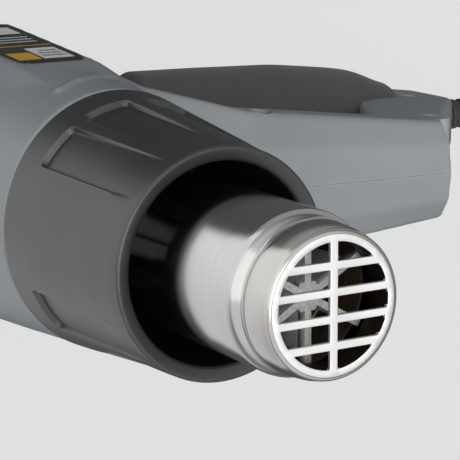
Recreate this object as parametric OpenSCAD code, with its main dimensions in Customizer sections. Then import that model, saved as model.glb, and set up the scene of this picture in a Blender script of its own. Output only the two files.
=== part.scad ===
// A mains heat gun with a closed handle, standing on its flat rear end.
// The nozzle's axis is Z and its outlet is at the top, the handle points to -X,
// and the side with the label faces -Y. Z = 0 is the rear rest face.

/* [Nozzle] */
// Height of the outlet above the rear rest face
total_len = 250; // [246:0.5:254]
// Length of nozzle that stands out of the guard sleeve
tip_len = 46.5; // [42:0.5:50]
// Outside diameter of the nozzle's front cap
tip_d = 34; // [33:0.1:35]
// Outside diameter of the nozzle tube, where attachments push on
tube_d = 38.6; // [38:0.1:39.4]
// Wall of the steel nozzle tube
tube_wall = 0.8; // [0.6:0.1:1]
// Length of the rounded band at the front of the nozzle
cap_len = 8; // [7:0.5:9]
// Length of the groove and shoulder behind the band
neck_len = 6; // [5:0.5:7]
// Depth of the groove behind the band
neck_depth = 0.7; // [0.4:0.1:0.9]
// Radius of the rolled front edge
tip_round = 0.9; // [0.6:0.1:1.2]
// Diameter of the opening that the grille bars cross
grille_open_d = 28.6; // [27:0.1:29]
// Thickness of the stamped grille
grille_t = 1; // [0.8:0.1:1.4]
// Number of bars that run along the handle's direction
bar_count = 4; // [3:1:5]
// Distance between two of those bars
bar_pitch = 6; // [5:0.1:6.4]
// Width of one of those bars
bar_w = 1.8; // [1.4:0.1:2.2]
// Width of the single bar across them
post_w = 1.9; // [1.4:0.1:2.4]

/* [Heater] */
// Depth of the star's front face behind the outlet
star_depth = 10.3; // [8:0.1:14]
// Thickness of the star's front plate
star_t = 3; // [2:0.5:4]
// Width of one arm of the star
star_arm_w = 1.7; // [1.4:0.1:2.2]
// Fillet between two arms of the star
star_fillet = 2.2; // [1:0.1:3]
// Diameter of the ceramic core that the heating wire is wound on
core_d = 26.2; // [24:0.1:27]
// Length of the ceramic core
core_len = 106; // [96:1:112]
// Thickness of the heating coil's wire
coil_wire_d = 1.4; // [1:0.1:1.6]
// Number of turns in the heating coil
coil_turns = 10; // [6:1:12]
// Wall of the mica sleeve round the coil
mica_wall = 0.6; // [0.4:0.1:0.8]
// Thickness of the ceramic disc at the heater's root
root_t = 6; // [4:0.5:8]

/* [Guard sleeve] */
// Length of the black guard sleeve
sleeve_len = 60.5; // [58:0.5:63]
// Diameter of the sleeve's front rim
sleeve_front_d = 57.6; // [56.5:0.1:59]
// Diameter of the sleeve's front opening
sleeve_bore_d = 49.8; // [49:0.1:51]
// Width of the sleeve's rear rim, from side to side
sleeve_rear_w = 69.2; // [68.5:0.1:70]
// Height of the sleeve's rear rim, along the handle's direction
sleeve_rear_h = 65.6; // [65:0.1:67]
// Wall of the sleeve
sleeve_wall = 2.6; // [2.2:0.1:3]
// Length of one grip pocket
pocket_len = 40; // [36:1:44]
// Width of one grip pocket
pocket_w = 13; // [12:0.5:14]
// Depth that a pocket's floor would reach at the sleeve's rear rim; it runs out towards the front
pocket_depth = 1.9; // [1.2:0.1:2.4]

/* [Housing] */
// Largest diameter of the barrel
barrel_d = 78; // [76.5:0.5:80]
// Wall of the housing shells
shell_wall = 2.6; // [2.2:0.1:3]
// Distance of the barrel's own axis from the nozzle's axis, towards the handle
barrel_shift = 3.3; // [3:0.1:3.6]
// Distance of the flat pad's front edge from the nozzle's axis, as a share of the barrel's diameter
panel_share = 0.482; // [0.477:0.001:0.493]
// Distance from the outlet to the front edge of the label
label_back = 144; // [142:1:150]
// Length of the label
label_len = 54; // [45:1:58]
// Width of the label
label_w = 21; // [18:0.5:22]
// Thickness of the label
label_t = 0.4; // [0.3:0.1:0.6]

/* [Handle] */
// Distance from the nozzle's axis to the guard's lower end
guard_drop = 119.5; // [118:0.5:122]
// Half the width of the guard where it leaves the barrel
guard_root_half = 22; // [21:0.1:23]
// Half the width of the guard at its lower end
guard_end_half = 14.6; // [14:0.1:15.5]
// Thickness of the guard at its lower end
guard_t = 17; // [15:0.5:18]
// Distance from the nozzle's axis to the bottom of the grip
grip_drop = 174; // [172:0.5:177]
// Half the width of the grip at its widest
grip_half = 27; // [26:0.1:27.5]
// Half the depth of the grip at its top
grip_depth_half = 21.5; // [20.5:0.1:22]
// Thickness of the soft cover on the grip
grip_skin = 2.4; // [2:0.1:3]
// Half the width of the handle's base
base_half = 13; // [12.5:0.1:13.8]
// Height of the cord's axis above the rest face
cord_z = 45; // [44:0.5:46]

/* [Air path] */
// Diameter of the motor
motor_d = 36; // [34:0.5:38]
// Length of the motor
motor_len = 50; // [46:1:52]
// Diameter of the motor's shaft
shaft_d = 3.2; // [3:0.1:4]
// Diameter of the fan, as a share of the barrel's
fan_share = 0.68; // [0.64:0.005:0.685]
// Height of the fan
fan_h = 16; // [13:0.5:18]
// Number of fan blades
fan_blades = 9; // [7:1:11]
// Running clearance round a shaft
run_gap = 0.05; // [0.03:0.01:0.08]
// Gap between neighbouring pieces that do not touch
gap = 0.3; // [0.2:0.05:0.4]
// Number of slots in the rear air intake
intake_slots = 12; // [8:1:14]

/* [Cord] */
// Diameter of the mains cord
cord_d = 7; // [6.6:0.1:7.2]
// Length of strain relief outside the handle
relief_len = 38; // [30:1:44]
// Turns in one layer of the stored coil
coil_layer_turns = 3.25; // [2.25:1:4.25]
// Free width inside the stored coil, to the middle of its inner turn
coil_inner_d = 54; // [50:1:60]
// Length of the plug's body
plug_len = 42; // [38:1:46]
// Width of the plug's body
plug_w = 34; // [30:1:36]
// Height of the plug's body
plug_h = 20; // [18:1:22]
// Diameter of one plug pin
pin_d = 4.8; // [4:0.1:5]
// Distance between the plug pins
pin_pitch = 19; // [18:0.5:20]
// Length of a plug pin
pin_len = 19; // [17:0.5:20]

/* [Screws] */
// Shank diameter of a housing screw
screw_d = 3.5; // [3:0.1:4]
// Head diameter of a housing screw
screw_head_d = 6.6; // [6:0.1:7]
// Length of a housing screw's shank
screw_len = 15; // [12:0.5:16]

/* [Hidden] */
$fn = 64;
hull_fn = 32;
pi = 3.14159265;
over = 1;

// heights of the main joints in the housing
z_front = total_len - tip_len;
z_seam = z_front - sleeve_len;
rear_cap_t = 3;
seam_gap = 0.4;

// barrel sections: height as a share of the seam's, radius as a share of the largest
barrel_shares = [[1, 0.885], [0.92, 0.905], [0.8, 0.941], [0.65, 0.977], [0.5, 1], [0.35, 0.998], [0.2, 0.98]];
barrel_rear_share = 0.9;
// the barrel is a little narrower along the handle's direction
barrel_flat_share = 0.935;
barrel_fn = 48;
// the barrel's bore, by the same rule, and its plain rear end
bore_shares = [[0.9, 0.765], [0.72, 0.82], [0.5, 0.86], [0.35, 0.865], [0.18, 0.845], [0.07, 0.79]];
panel_slope_share = 0.0895;
panel_z0 = total_len - label_back;
label_off = 4.6;
pad_margin = 1.5;
// foot of the pad's slopes, across and along: shares of the label's width and length
pad_side_shares = [[1.02, 0.26], [0.5, 0.44]];
pad_rear_share = 0.5;
panel_half = panel_share * barrel_d;
// distance of the slopes' ends from the axis: at the foot and at the toe, shares of the barrel's diameter
pad_half_shares = [0.368, 0.4308];
pad_foot_half = pad_half_shares[0] * barrel_d;
pad_toe_half = pad_half_shares[1] * barrel_d;

// guard: front heights below the seam, and thickness, at three drops
guard_root_drop = 22;
guard_shoulder_drop = 56;
guard_root_fall = 30;
guard_shoulder_fall = 12.4;
guard_end_fall = 7.4;
guard_root_t = 23;
guard_shoulder_t = 19;
guard_root_widen = 9.6;
guard_bow_share = 0.3;
guard_lip = 2;

// base of the handle: corner places from its neighbours
base_round = 4;
base_toe = 5;
heel_share = 0.66;
foot_share = 0.8;
base_fall = 8;
base_heel_up = 12;
base_heel_down = 7;
base_inner_in = 24;
base_inner_up = 17;
base_foot_in = 16;
base_foot_down = 12;
base_neck_in = 14;

// grip sections: drop, centre height above the cord, half width and half depth as shares
grip_top_drop = 46;
grip_drop_shares = [0, 0.22, 0.48, 0.66, 0.74, 0.85];
grip_rise_shares = [1, 0.83, 0.55, 0.33, 0.25, 0.12];
grip_w_shares = [1, 0.963, 0.896, 0.785, 0.722, 0.52];
grip_d_shares = [1, 0.98, 0.96, 0.92, 0.88, 0.8];
grip_rise = 19;
core_root_drop = 30;
skin_top_drop = 53;
skin_end_drop = 160;
cavity_half = 14.5;
cavity_narrow_half = 9;
cavity_wall = 5;

// screws: drop and height of each
screw_seat = 6;
boss_wall = 2;
pilot_gap = 0.05;
screw_head_t = 2.4;
slot_w = 1;
slot_depth = 1.2;
barrel_boss_share = 0.19;
toe_screw_back = 16;
toe_screw_fall = 39;
guard_screw_fall = 22;
guard_screw_drop = 62;
grip_screw_drop = 128;
grip_screw_up = 10;
foot_screw_drop = 163;
foot_screw_up = 10;
barrel_screw_share = 0.308;
barrel_screw_x = barrel_screw_share * barrel_d;
barrel_screw_z = 50;
foot_boss_share = 0.6;
screw_places = [
    [-(guard_drop + toe_screw_back), z_seam - toe_screw_fall, base_half - guard_lip],
    [-guard_screw_drop, z_seam - guard_screw_fall, cavity_narrow_half + over],
    [-foot_screw_drop, cord_z + foot_screw_up, base_half * foot_boss_share],
    [-grip_screw_drop, cord_z + grip_screw_up, cavity_half + over],
    [barrel_screw_x, barrel_screw_z, barrel_boss_share * barrel_d]];

// carrier of the guard sleeve and the nozzle
spigot_gap = 0.05;
carrier_share = 0.692;
carrier_r = barrel_d / 2 * carrier_share;
carrier_below = 25;
carrier_above = 6;
carrier_wall = 2;
carrier_floor_t = 3;
carrier_ribs = 8;
carrier_rib_t = 1.4;
carrier_z = z_seam - carrier_below;
nozzle_z = carrier_z + carrier_floor_t;
flange_t = 1.2;
flange_share = 0.877;
flange_over = flange_share * (carrier_r - carrier_wall - tube_d / 2);

// motor and fan, up from the rear
board_z = 13;
board_t = 1.6;
board_r = 17;
bell_z = 18;
bell_t = 6;
motor_z = bell_z + bell_t;
can_wall = 1.2;
magnet_t = 3.6;
bush_r = 4.5;
bush_t = 3;
rotor_gap = 1;
rotor_z_share = 0.14;
rotor_len_share = 0.66;
mount_lap = 12;
mount_rim_t = 2.4;
mount_arm_w = 4;
mount_arms = 6;
mount_rim_share = 0.85;
duct_wall = 1.5;
mount_hole_share = 0.6;
fan_d = fan_share * barrel_d;
duct_gap = 0.8;
duct_len = 20;
fan_gap = 4;
fan_hub_r = 8;
fan_plate_t = 1.6;
blade_t = 1.4;
motor_top = motor_z + motor_len;
fan_z = motor_top + bush_t + fan_gap;
shaft_top = fan_z + fan_h;

// intake
intake_hub_r = 9;
intake_rim_r = 28;
intake_slot_w = 3.2;
cap_rim_t = 2;
cap_lap = 6;

// switch
switch_drop = 76;
switch_len = 30;
switch_w = 15;
switch_t = 13;
knob_len = 12;
knob_w = 9;
knob_proud = 2.2;
switch_travel = 8;
knob_stem_w = 5;
knob_ribs = 4;
knob_rib_w = 1;
window_gap = 0.5;

// cord parts
relief_r = 5.4;
relief_tip_r = 4.5;
relief_neck_r = 5;
relief_flange_r = 6.6;
relief_flange_t = 4;
relief_ribs = 6;
relief_rib_share = 0.55;
relief_rib_depth = 0.8;
foot_wall = 4;
clamp_drop = 146;
clamp_len = 8;
clamp_w = 18;
clamp_t = 3.4;
clamp_gap = 0.1;
clamp_screw_off = 6.6;
clamp_screw_r = 1.4;
clamp_screw_len = 10;
clamp_head_r = 2.5;
clamp_head_t = 1.8;
block_drop = 108;
block_len = 12;
block_w = 14;
block_h = 9;
block_screw_r = 1.6;
lead_d = 1.8;

steel = [0.78, 0.78, 0.79];
bright = [0.93, 0.93, 0.94];
dark = [0.2, 0.2, 0.21];
grey = [0.42, 0.44, 0.45];
black = [0.13, 0.13, 0.14];
mica_brown = [0.3, 0.2, 0.12];
ceramic = [0.75, 0.75, 0.72];
brassy = [0.75, 0.6, 0.3];

function unit(v) = v / norm(v);
function cross_up(t) = unit(cross(t, [0, 0, 1]));

// one tube swept along points, with rings square to the path
module sweep(path, r, sides) {
    n = len(path);
    tangents = [for (i = [0 : n - 1])
        unit(path[min(i + 1, n - 1)] - path[max(i - 1, 0)])];
    points = [for (i = [0 : n - 1]) let (t = tangents[i], s = cross_up(t), u = cross(s, t))
        for (k = [0 : sides - 1]) let (a = 360 * (k + 0.5) / sides)
            path[i] + r * (cos(a) * s + sin(a) * u)];
    sides_faces = [for (i = [0 : n - 2]) for (k = [0 : sides - 1])
        let (a = i * sides + k, b = i * sides + (k + 1) % sides)
            each [[a, b, b + sides], [a, b + sides, a + sides]]];
    start_faces = [for (k = [1 : sides - 2]) [0, k + 1, k]];
    end_faces = [for (k = [1 : sides - 2])
        [(n - 1) * sides, (n - 1) * sides + k, (n - 1) * sides + k + 1]];
    polyhedron(points, concat(sides_faces, start_faces, end_faces));
}

// a thin slice for hulls, square to the nozzle's axis
module barrel_slice(z, r) {
    translate([-barrel_shift, 0, z]) scale([barrel_flat_share, 1, 1])
        cylinder(h = guard_lip / barrel_fn, r = r, $fn = barrel_fn);
}

module barrel_hull() {
    hull() {
        for (s = barrel_shares)
            barrel_slice(s[0] == 1 ? z_seam - guard_lip / barrel_fn : s[0] * z_seam, s[1] * barrel_d / 2);
        barrel_slice(rear_cap_t, barrel_rear_share * barrel_d / 2);
    }
}

// a thin block for the pad's hull: X ends, Y and Z
module pad_block(x0, x1, y, z) {
    translate([x0, y, z]) cube([x1 - x0, guard_lip, guard_lip]);
}
// the flat pad that carries the label, with slopes down to the barrel
module label_pad() {
    foot = pad_side_shares[0][0] * label_w;
    toe = pad_side_shares[1][0] * label_w;
    hull() {
        label_frame() translate([-label_w / 2 - pad_margin, 0, -label_len - pad_margin])
            cube([label_w + 2 * pad_margin, guard_lip, label_len + 2 * pad_margin]);
        pad_block(-label_off - foot, -label_off + foot, -pad_foot_half, panel_z0 + pad_side_shares[0][1] * label_len - guard_lip);
        pad_block(-label_off - toe, -label_off + toe, -pad_toe_half, panel_z0 + pad_side_shares[1][1] * label_len - guard_lip);
        pad_block(-label_off - foot, -label_off + foot, -pad_foot_half, panel_z0 - (1 + pad_rear_share) * label_len);
    }
}
module label_frame() {
    translate([-label_off, -panel_half, panel_z0]) rotate([-atan(panel_slope_share), 0, 0]) children();
}
module barrel_outer() {
    barrel_hull();
    label_pad();
}

module barrel_bore() {
    pts = [for (s = bore_shares) [s[1] * barrel_d / 2, s[0] * z_seam]];
    rear_r = pts[len(pts) - 1][0];
    translate([-barrel_shift, 0, 0]) rotate_extrude($fn = barrel_fn)
        polygon(concat([[0, pts[0][1]]], pts, [[rear_r, -over], [0, -over]]));
    cylinder(h = z_seam + over, r = carrier_r + spigot_gap);
}

// one section of the guard, an outline in Y and Z
module guard_slice(drop, half, front, t) {
    bow = half * guard_bow_share;
    translate([-drop, 0, 0]) rotate([90, 0, 90])
        linear_extrude(height = guard_lip / barrel_fn, center = true)
            polygon([[0, front], [half / 2, front - bow * 0.2], [half - guard_lip, front - bow * 0.8],
                [half, front - bow - guard_lip / 2], [half, front - t + guard_lip],
                [half - guard_lip, front - t], [guard_lip - half, front - t],
                [-half, front - t + guard_lip], [-half, front - bow - guard_lip / 2],
                [guard_lip - half, front - bow * 0.8], [-half / 2, front - bow * 0.2]]);
}

guard_shoulder_share = (guard_shoulder_drop - guard_root_drop) / (guard_drop - guard_root_drop);
guard_shoulder_half = guard_root_half;
module guard_outer() {
    hull() {
        guard_slice(guard_root_drop, guard_root_half + guard_root_widen, z_seam - guard_root_fall, guard_root_t);
        guard_slice(guard_shoulder_drop, guard_shoulder_half, z_seam - guard_shoulder_fall, guard_shoulder_t);
    }
    hull() {
        guard_slice(guard_shoulder_drop, guard_shoulder_half, z_seam - guard_shoulder_fall, guard_shoulder_t);
        guard_slice(guard_drop, guard_end_half, z_seam - guard_end_fall, guard_t);
    }
}

// corners of the base between guard and grip: X, Z and half width
base_corners = [
    [-(guard_drop - base_toe), z_seam - base_fall - base_round, base_half],
    [-grip_drop, cord_z + base_heel_up, base_half * heel_share],
    [-grip_drop, cord_z - base_heel_down, base_half * heel_share],
    [-(grip_drop - base_foot_in), cord_z - base_foot_down, base_half * foot_share],
    [-(grip_drop - base_inner_in), cord_z + base_inner_up, base_half],
    [-(guard_drop - base_neck_in), z_seam - guard_end_fall - guard_t + base_round, base_half]];
module base_outer() {
    hull() for (c = base_corners) translate([c[0], 0, c[1]]) rotate([90, 0, 0]) {
        cylinder(h = 2 * (c[2] - guard_lip), r = base_round, center = true, $fn = hull_fn);
        cylinder(h = 2 * c[2], r = base_round - guard_lip, center = true, $fn = hull_fn);
    }
}

// one slice of the grip, square to the drop, and the grip's hull with less skin
module grip_slice(i, less) {
    drop = grip_top_drop + grip_drop_shares[i] * (grip_drop - grip_top_drop);
    translate([-drop, 0, cord_z + grip_rise * grip_rise_shares[i]]) rotate([90, 0, 90])
        scale([grip_half * grip_w_shares[i] - less, grip_depth_half * grip_d_shares[i] - less, 1])
            cylinder(h = guard_lip / barrel_fn, r = 1, center = true, $fn = hull_fn);
}
module grip_hull(less) {
    hull() for (i = [0 : len(grip_drop_shares) - 1]) grip_slice(i, less);
}
module grip_core() {
    hull() {
        translate([grip_top_drop - core_root_drop, 0, 0]) grip_slice(0, grip_skin);
        for (i = [0 : len(grip_drop_shares) - 1]) grip_slice(i, grip_skin);
    }
}

// hollows for the switch and the leads, as outlines in X and Z
module handle_cavity() {
    top = cord_z + grip_rise + cavity_half;
    low = cord_z + grip_rise - cavity_half;
    end_drop = block_drop + block_len;
    rotate([90, 0, 0]) linear_extrude(height = 2 * cavity_half, center = true)
        polygon([[-core_root_drop, top], [-core_root_drop, low], [-switch_drop, low - cavity_wall / 2],
            [-end_drop, cord_z - cavity_wall], [-end_drop, top - 2 * cavity_wall]]);
    rotate([90, 0, 0]) linear_extrude(height = 2 * cavity_narrow_half + guard_lip, center = true)
        polygon([[-end_drop + over, cord_z + clamp_t], [-end_drop + over, top - 2 * cavity_wall - over],
            [-(clamp_drop + clamp_len), cord_z + cavity_half], [-(clamp_drop + clamp_len), cord_z + clamp_t]]);
    guard_rear = z_seam - guard_end_fall - guard_t;
    rotate([90, 0, 0]) linear_extrude(height = 2 * cavity_narrow_half, center = true)
        polygon([[-guard_screw_drop - 2 * cavity_wall, guard_rear],
            [-guard_screw_drop - 2 * cavity_wall, z_seam - guard_shoulder_fall - 2 * cavity_wall],
            [-guard_drop, z_seam - guard_end_fall - 2 * cavity_wall], [-guard_drop, guard_rear + cavity_wall]]);
}

module screw_bosses(side) {
    for (p = screw_places) translate([p[0], side > 0 ? 0 : -p[2], p[1]]) rotate([-90, 0, 0])
        cylinder(h = p[2], r = screw_head_d / 2 + boss_wall);
}
module screw_holes(side) {
    for (p = screw_places) translate([p[0], 0, p[1]]) rotate([-90, 0, 0]) {
        if (side > 0)
            translate([0, 0, -over]) cylinder(h = screw_len - screw_seat + over + pilot_gap, r = screw_d / 2 + pilot_gap);
        else {
            translate([0, 0, -screw_seat - over]) cylinder(h = screw_seat + 2 * over, r = screw_d / 2 + pilot_gap);
            translate([0, 0, -barrel_d]) cylinder(h = barrel_d - screw_seat, r = screw_head_d / 2 + gap / 2);
        }
    }
}

module half_space(side) {
    size = 4 * total_len;
    translate([-size / 2, side > 0 ? 0 : -size, -size / 2]) cube(size);
}

// the hole for the cord, its strain relief and its clamp
relief_x = -(grip_drop + base_round - foot_wall);
module cord_hole() {
    translate([0, 0, cord_z]) rotate([0, -90, 0]) {
        translate([0, 0, block_drop]) cylinder(h = grip_drop - block_drop, r = cord_d / 2 + clamp_gap);
        translate([0, 0, -relief_x - relief_flange_t - gap])
            cylinder(h = relief_flange_t + 2 * clamp_gap + gap, r = relief_flange_r + clamp_gap);
        translate([0, 0, -relief_x - over]) cylinder(h = foot_wall + 2 * over + base_round, r = relief_neck_r + clamp_gap);
    }
    for (s = [-1, 1]) translate([-clamp_drop - clamp_len / 2, s * clamp_screw_off, cord_z + cord_d / 2 + clamp_gap - clamp_screw_len])
        cylinder(h = clamp_screw_len, r = clamp_screw_r + pilot_gap);
    translate([-clamp_drop - clamp_len - gap, -clamp_w / 2 - gap, cord_z + cord_d / 2])
        cube([clamp_len + 2 * gap, clamp_w + 2 * gap, clamp_t + clamp_head_t + over]);
}

switch_z = cord_z + grip_rise - cavity_half + gap;
module switch_window(grow) {
    translate([-switch_drop - knob_len / 2 - grow, -knob_w / 2 - grow, 0])
        cube([knob_len + switch_travel + 2 * grow, knob_w + 2 * grow, switch_z]);
}

module housing_half(side) {
    color(grey) difference() {
        intersection() {
            union() {
                difference() {
                    union() {
                        barrel_outer();
                        guard_outer();
                        base_outer();
                        grip_core();
                    }
                    barrel_bore();
                    handle_cavity();
                }
                screw_bosses(side);
            }
            half_space(side);
        }
        screw_holes(side);
        cord_hole();
        switch_window(window_gap);
    }
}
module housing_label_side() housing_half(-1);
module housing_plain_side() housing_half(1);

module grip_half_cover(side) {
    color(dark) difference() {
        intersection() {
            grip_hull(0);
            half_space(side);
            translate([-skin_end_drop, -barrel_d, 0]) cube([skin_end_drop - skin_top_drop, 2 * barrel_d, total_len]);
        }
        grip_core();
        barrel_hull();
        base_outer();
        guard_outer();
        switch_window(2 * window_gap);
    }
}
module grip_label_side() grip_half_cover(-1);
module grip_plain_side() grip_half_cover(1);

// black guard sleeve: a tapered shell that turns on the carrier
sleeve_round = 1.4;
sleeve_chamfer = 1;
sleeve_ride = 6.5;
sleeve_inside_gap = 1;
pocket_fore = 11.3;
pocket_angles = [50.5, 80.5, 110.5, -37.5, -67.5, -97.5];
module sleeve_hull() {
    hull() {
        translate([-barrel_shift, 0, z_seam + seam_gap])
            scale([sleeve_rear_h / sleeve_rear_w, 1, 1]) cylinder(h = guard_lip / barrel_fn, r = sleeve_rear_w / 2);
        translate([0, 0, z_front - 2 * sleeve_round]) cylinder(h = guard_lip / barrel_fn, r = sleeve_front_d / 2);
        translate([0, 0, z_front - sleeve_round]) cylinder(h = guard_lip / barrel_fn, r = sleeve_front_d / 2 - sleeve_round / 4);
        translate([0, 0, z_front - guard_lip / barrel_fn]) cylinder(h = guard_lip / barrel_fn, r = sleeve_front_d / 2 - sleeve_round);
    }
}
sleeve_cavity_r = carrier_r - sleeve_inside_gap;
// the curved floor of the pockets: the sleeve's own taper, drawn in at the rear
module pocket_floor() {
    hull() {
        translate([-barrel_shift, 0, z_seam])
            scale([sleeve_rear_h / sleeve_rear_w, 1, 1]) cylinder(h = guard_lip / barrel_fn, r = sleeve_rear_w / 2 - pocket_depth);
        translate([0, 0, z_front - 2 * sleeve_round]) cylinder(h = guard_lip / barrel_fn, r = sleeve_front_d / 2);
    }
}
module guard_sleeve() {
    color(black) difference() {
        sleeve_hull();
        rotate_extrude() polygon([
            [0, z_seam - over], [carrier_r + spigot_gap, z_seam - over], [carrier_r + spigot_gap, z_seam + sleeve_ride],
            [sleeve_cavity_r, z_seam + sleeve_ride], [sleeve_bore_d / 2 + sleeve_chamfer, z_front - 3 * sleeve_round],
            [sleeve_bore_d / 2, z_front - 2 * sleeve_chamfer], [sleeve_bore_d / 2, z_front - sleeve_chamfer],
            [sleeve_bore_d / 2 + sleeve_chamfer, z_front], [sleeve_bore_d / 2 + sleeve_chamfer, z_front + over], [0, z_front + over]]);
        difference() {
            for (a = pocket_angles) rotate([0, 0, -a])
                translate([sleeve_cavity_r, -pocket_w / 2, z_seam + pocket_fore])
                    cube([sleeve_front_d, pocket_w, pocket_len]);
            pocket_floor();
        }
    }
}

// the collar inside the housing that carries sleeve and nozzle
module sleeve_carrier() {
    color(black) difference() {
        union() {
            translate([0, 0, carrier_z]) cylinder(h = carrier_below + carrier_above, r = carrier_r);
        }
        translate([0, 0, nozzle_z + flange_t + pilot_gap])
            cylinder(h = carrier_below + carrier_above, r = carrier_r - carrier_wall);
        translate([0, 0, carrier_z + carrier_floor_t - pilot_gap / 2])
            cylinder(h = flange_t + 2 * pilot_gap, r = tube_d / 2 + flange_over + pilot_gap);
        translate([0, 0, carrier_z - over]) cylinder(h = carrier_below, r = tube_d / 2 - tube_wall);
    }
    color(black) for (i = [0 : carrier_ribs - 1]) rotate([0, 0, 360 * (i + 0.5) / carrier_ribs])
        translate([tube_d / 2 + gap, -carrier_rib_t / 2, nozzle_z + flange_t + gap])
            cube([carrier_r - carrier_wall / 2 - tube_d / 2 - gap, carrier_rib_t, carrier_below + carrier_above - carrier_floor_t - flange_t - gap]);
}

// steel nozzle: tube, shoulder, groove and rounded front band
cap_flare = 0.9;
face_rim = 0.9;
shoulder_share = 0.35;
seat_relief = 0.5;
module nozzle_tube() {
    function outer(less) = [
        [tip_d / 2 - less, total_len - tip_round],
        [tip_d / 2 + cap_flare / 2 - less, total_len - cap_len * shoulder_share],
        [tip_d / 2 + cap_flare - less, total_len - cap_len],
        [tip_d / 2 + cap_flare - neck_depth - less, total_len - cap_len - neck_len * shoulder_share],
        [tube_d / 2 - neck_depth - less, total_len - cap_len - neck_len * (1 - shoulder_share)],
        [tube_d / 2 - less, total_len - cap_len - neck_len]];
    inner_pts = outer(tube_wall);
    back_wall_r = inner_r;
    color(steel) rotate_extrude() polygon(concat(
        [[tip_d / 2 - tip_round, total_len], [tip_d / 2 - tip_round / 3, total_len - tip_round / 3]],
        outer(0),
        [[tube_d / 2, z_front], [back_r, z_front - seat_relief], [back_r, nozzle_z],
            [back_wall_r, nozzle_z], [back_wall_r, z_front - seat_relief], [tube_d / 2 - tube_wall, z_front]],
        [for (i = [len(inner_pts) - 1 : -1 : 0]) inner_pts[i]],
        [[tip_d / 2 - tip_round, total_len - tip_round]]));
}
// ring welded round the rear end of the tube, which the carrier holds
module nozzle_flange() {
    color(steel) translate([0, 0, nozzle_z]) difference() {
        cylinder(h = flange_t, r = tube_d / 2 + flange_over);
        translate([0, 0, -over]) cylinder(h = flange_t + 2 * over, r = back_r + pilot_gap / 5);
    }
}

// stamped grille that closes the outlet
grille_skirt = 6;
module grille_openings() {
    intersection() {
        translate([0, 0, -over]) cylinder(h = grille_t + 2 * over, r = grille_open_d / 2);
        for (s = [-1, 1]) for (i = [0 : bar_count]) {
            low = i == 0 ? -grille_open_d : (i - 1 - (bar_count - 1) / 2) * bar_pitch + bar_w / 2;
            high = i == bar_count ? grille_open_d : (i - (bar_count - 1) / 2) * bar_pitch - bar_w / 2;
            translate([s > 0 ? post_w / 2 : -post_w / 2 - grille_open_d, low, -over])
                cube([grille_open_d, high - low, grille_t + 2 * over]);
        }
    }
}
module outlet_grille() {
    color(bright) translate([0, 0, total_len - grille_t]) difference() {
        cylinder(h = grille_t, r = tip_d / 2 - tip_round - pilot_gap / 5);
        grille_openings();
    }
    color(bright) translate([0, 0, total_len - grille_t - grille_skirt]) difference() {
        cylinder(h = grille_skirt, r = tip_d / 2 - tube_wall - pilot_gap - tip_round / 3);
        translate([0, 0, -over]) cylinder(h = grille_skirt + 2 * over, r = grille_open_d / 2);
    }
}

// heater: star plate, ribbed core, coil, mica sleeve and root disc
back_r = tube_d / 2 - seat_relief;
inner_r = back_r - tube_wall;
mica_r = inner_r - pilot_gap - gap;
root_z = nozzle_z + flange_t;
core_z = root_z + root_t;
core_top = total_len - star_depth - star_t;
coil_r = core_d / 2 + gap + coil_wire_d / 2;
star_r = tip_d / 2 + cap_flare - neck_depth - tube_wall - gap;
mica_top = total_len - cap_len - neck_len - gap;
coil_start_share = 0.08;
coil_end_share = 0.95;
coil_z0 = core_z + coil_start_share * (core_top - core_z);
coil_z1 = core_z + coil_end_share * (core_top - core_z);
module star(r, w, hub, h) {
    linear_extrude(height = h) {
        for (a = [30, 90, 150]) rotate(a) square([2 * r, w], center = true);
        circle(r = hub, $fn = 6);
    }
}
module element_star() {
    color(ceramic) translate([0, 0, core_top]) star(star_r, star_arm_w, star_arm_w + star_fillet, star_t);
}
module element_core() {
    color(ceramic) translate([0, 0, core_z]) star(core_d / 2, star_arm_w, star_arm_w + star_fillet, core_top - core_z);
}
coil_path = [for (i = [0 : 24 * coil_turns]) let (t = i / (24 * coil_turns), a = 360 * coil_turns * t)
    [coil_r * cos(a), coil_r * sin(a), coil_z0 + t * (coil_z1 - coil_z0)]];
module heating_coil() {
    color(brassy) sweep(coil_path, coil_wire_d / 2, 6);
}
echo(heating_coil_gap = (coil_z1 - coil_z0) / coil_turns - coil_wire_d);
module mica_sleeve() {
    color(mica_brown) translate([0, 0, core_z]) difference() {
        cylinder(h = mica_top - core_z, r = mica_r);
        translate([0, 0, -over]) cylinder(h = total_len, r = mica_r - mica_wall);
    }
}
root_holes = 6;
root_hole_r = 3.2;
module element_root() {
    color(ceramic) translate([0, 0, root_z - flange_t]) difference() {
        cylinder(h = root_t + flange_t, r = mica_r);
        for (i = [0 : root_holes - 1]) rotate(60 * i + 30)
            translate([core_d / 2 - root_hole_r, 0, -over]) cylinder(h = 3 * root_t, r = root_hole_r);
    }
}
cutout_r = 5;
cutout_h = 6;
module thermal_cutout() {
    color(steel) translate([0, 0, root_z - flange_t - cutout_h]) cylinder(h = cutout_h, r = cutout_r);
}

// rear cap with its air intake
module rear_cap() {
    rim = barrel_rear_share * barrel_d / 2 * barrel_flat_share;
    spigot = bore_shares[len(bore_shares) - 1][1] * barrel_d / 2 - spigot_gap;
    color(dark) translate([-barrel_shift, 0, 0]) difference() {
        union() {
            cylinder(h = rear_cap_t, r = rim);
            translate([0, 0, rear_cap_t - over / 2]) cylinder(h = cap_lap + over / 2, r = spigot);
        }
        translate([0, 0, rear_cap_t]) cylinder(h = cap_lap + over, r = spigot - cap_rim_t);
        for (i = [0 : intake_slots - 1]) rotate(360 * i / intake_slots)
            translate([intake_hub_r, -intake_slot_w / 2, -over])
                cube([intake_rim_r - intake_hub_r, intake_slot_w, rear_cap_t + 2 * over]);
    }
}

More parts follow.
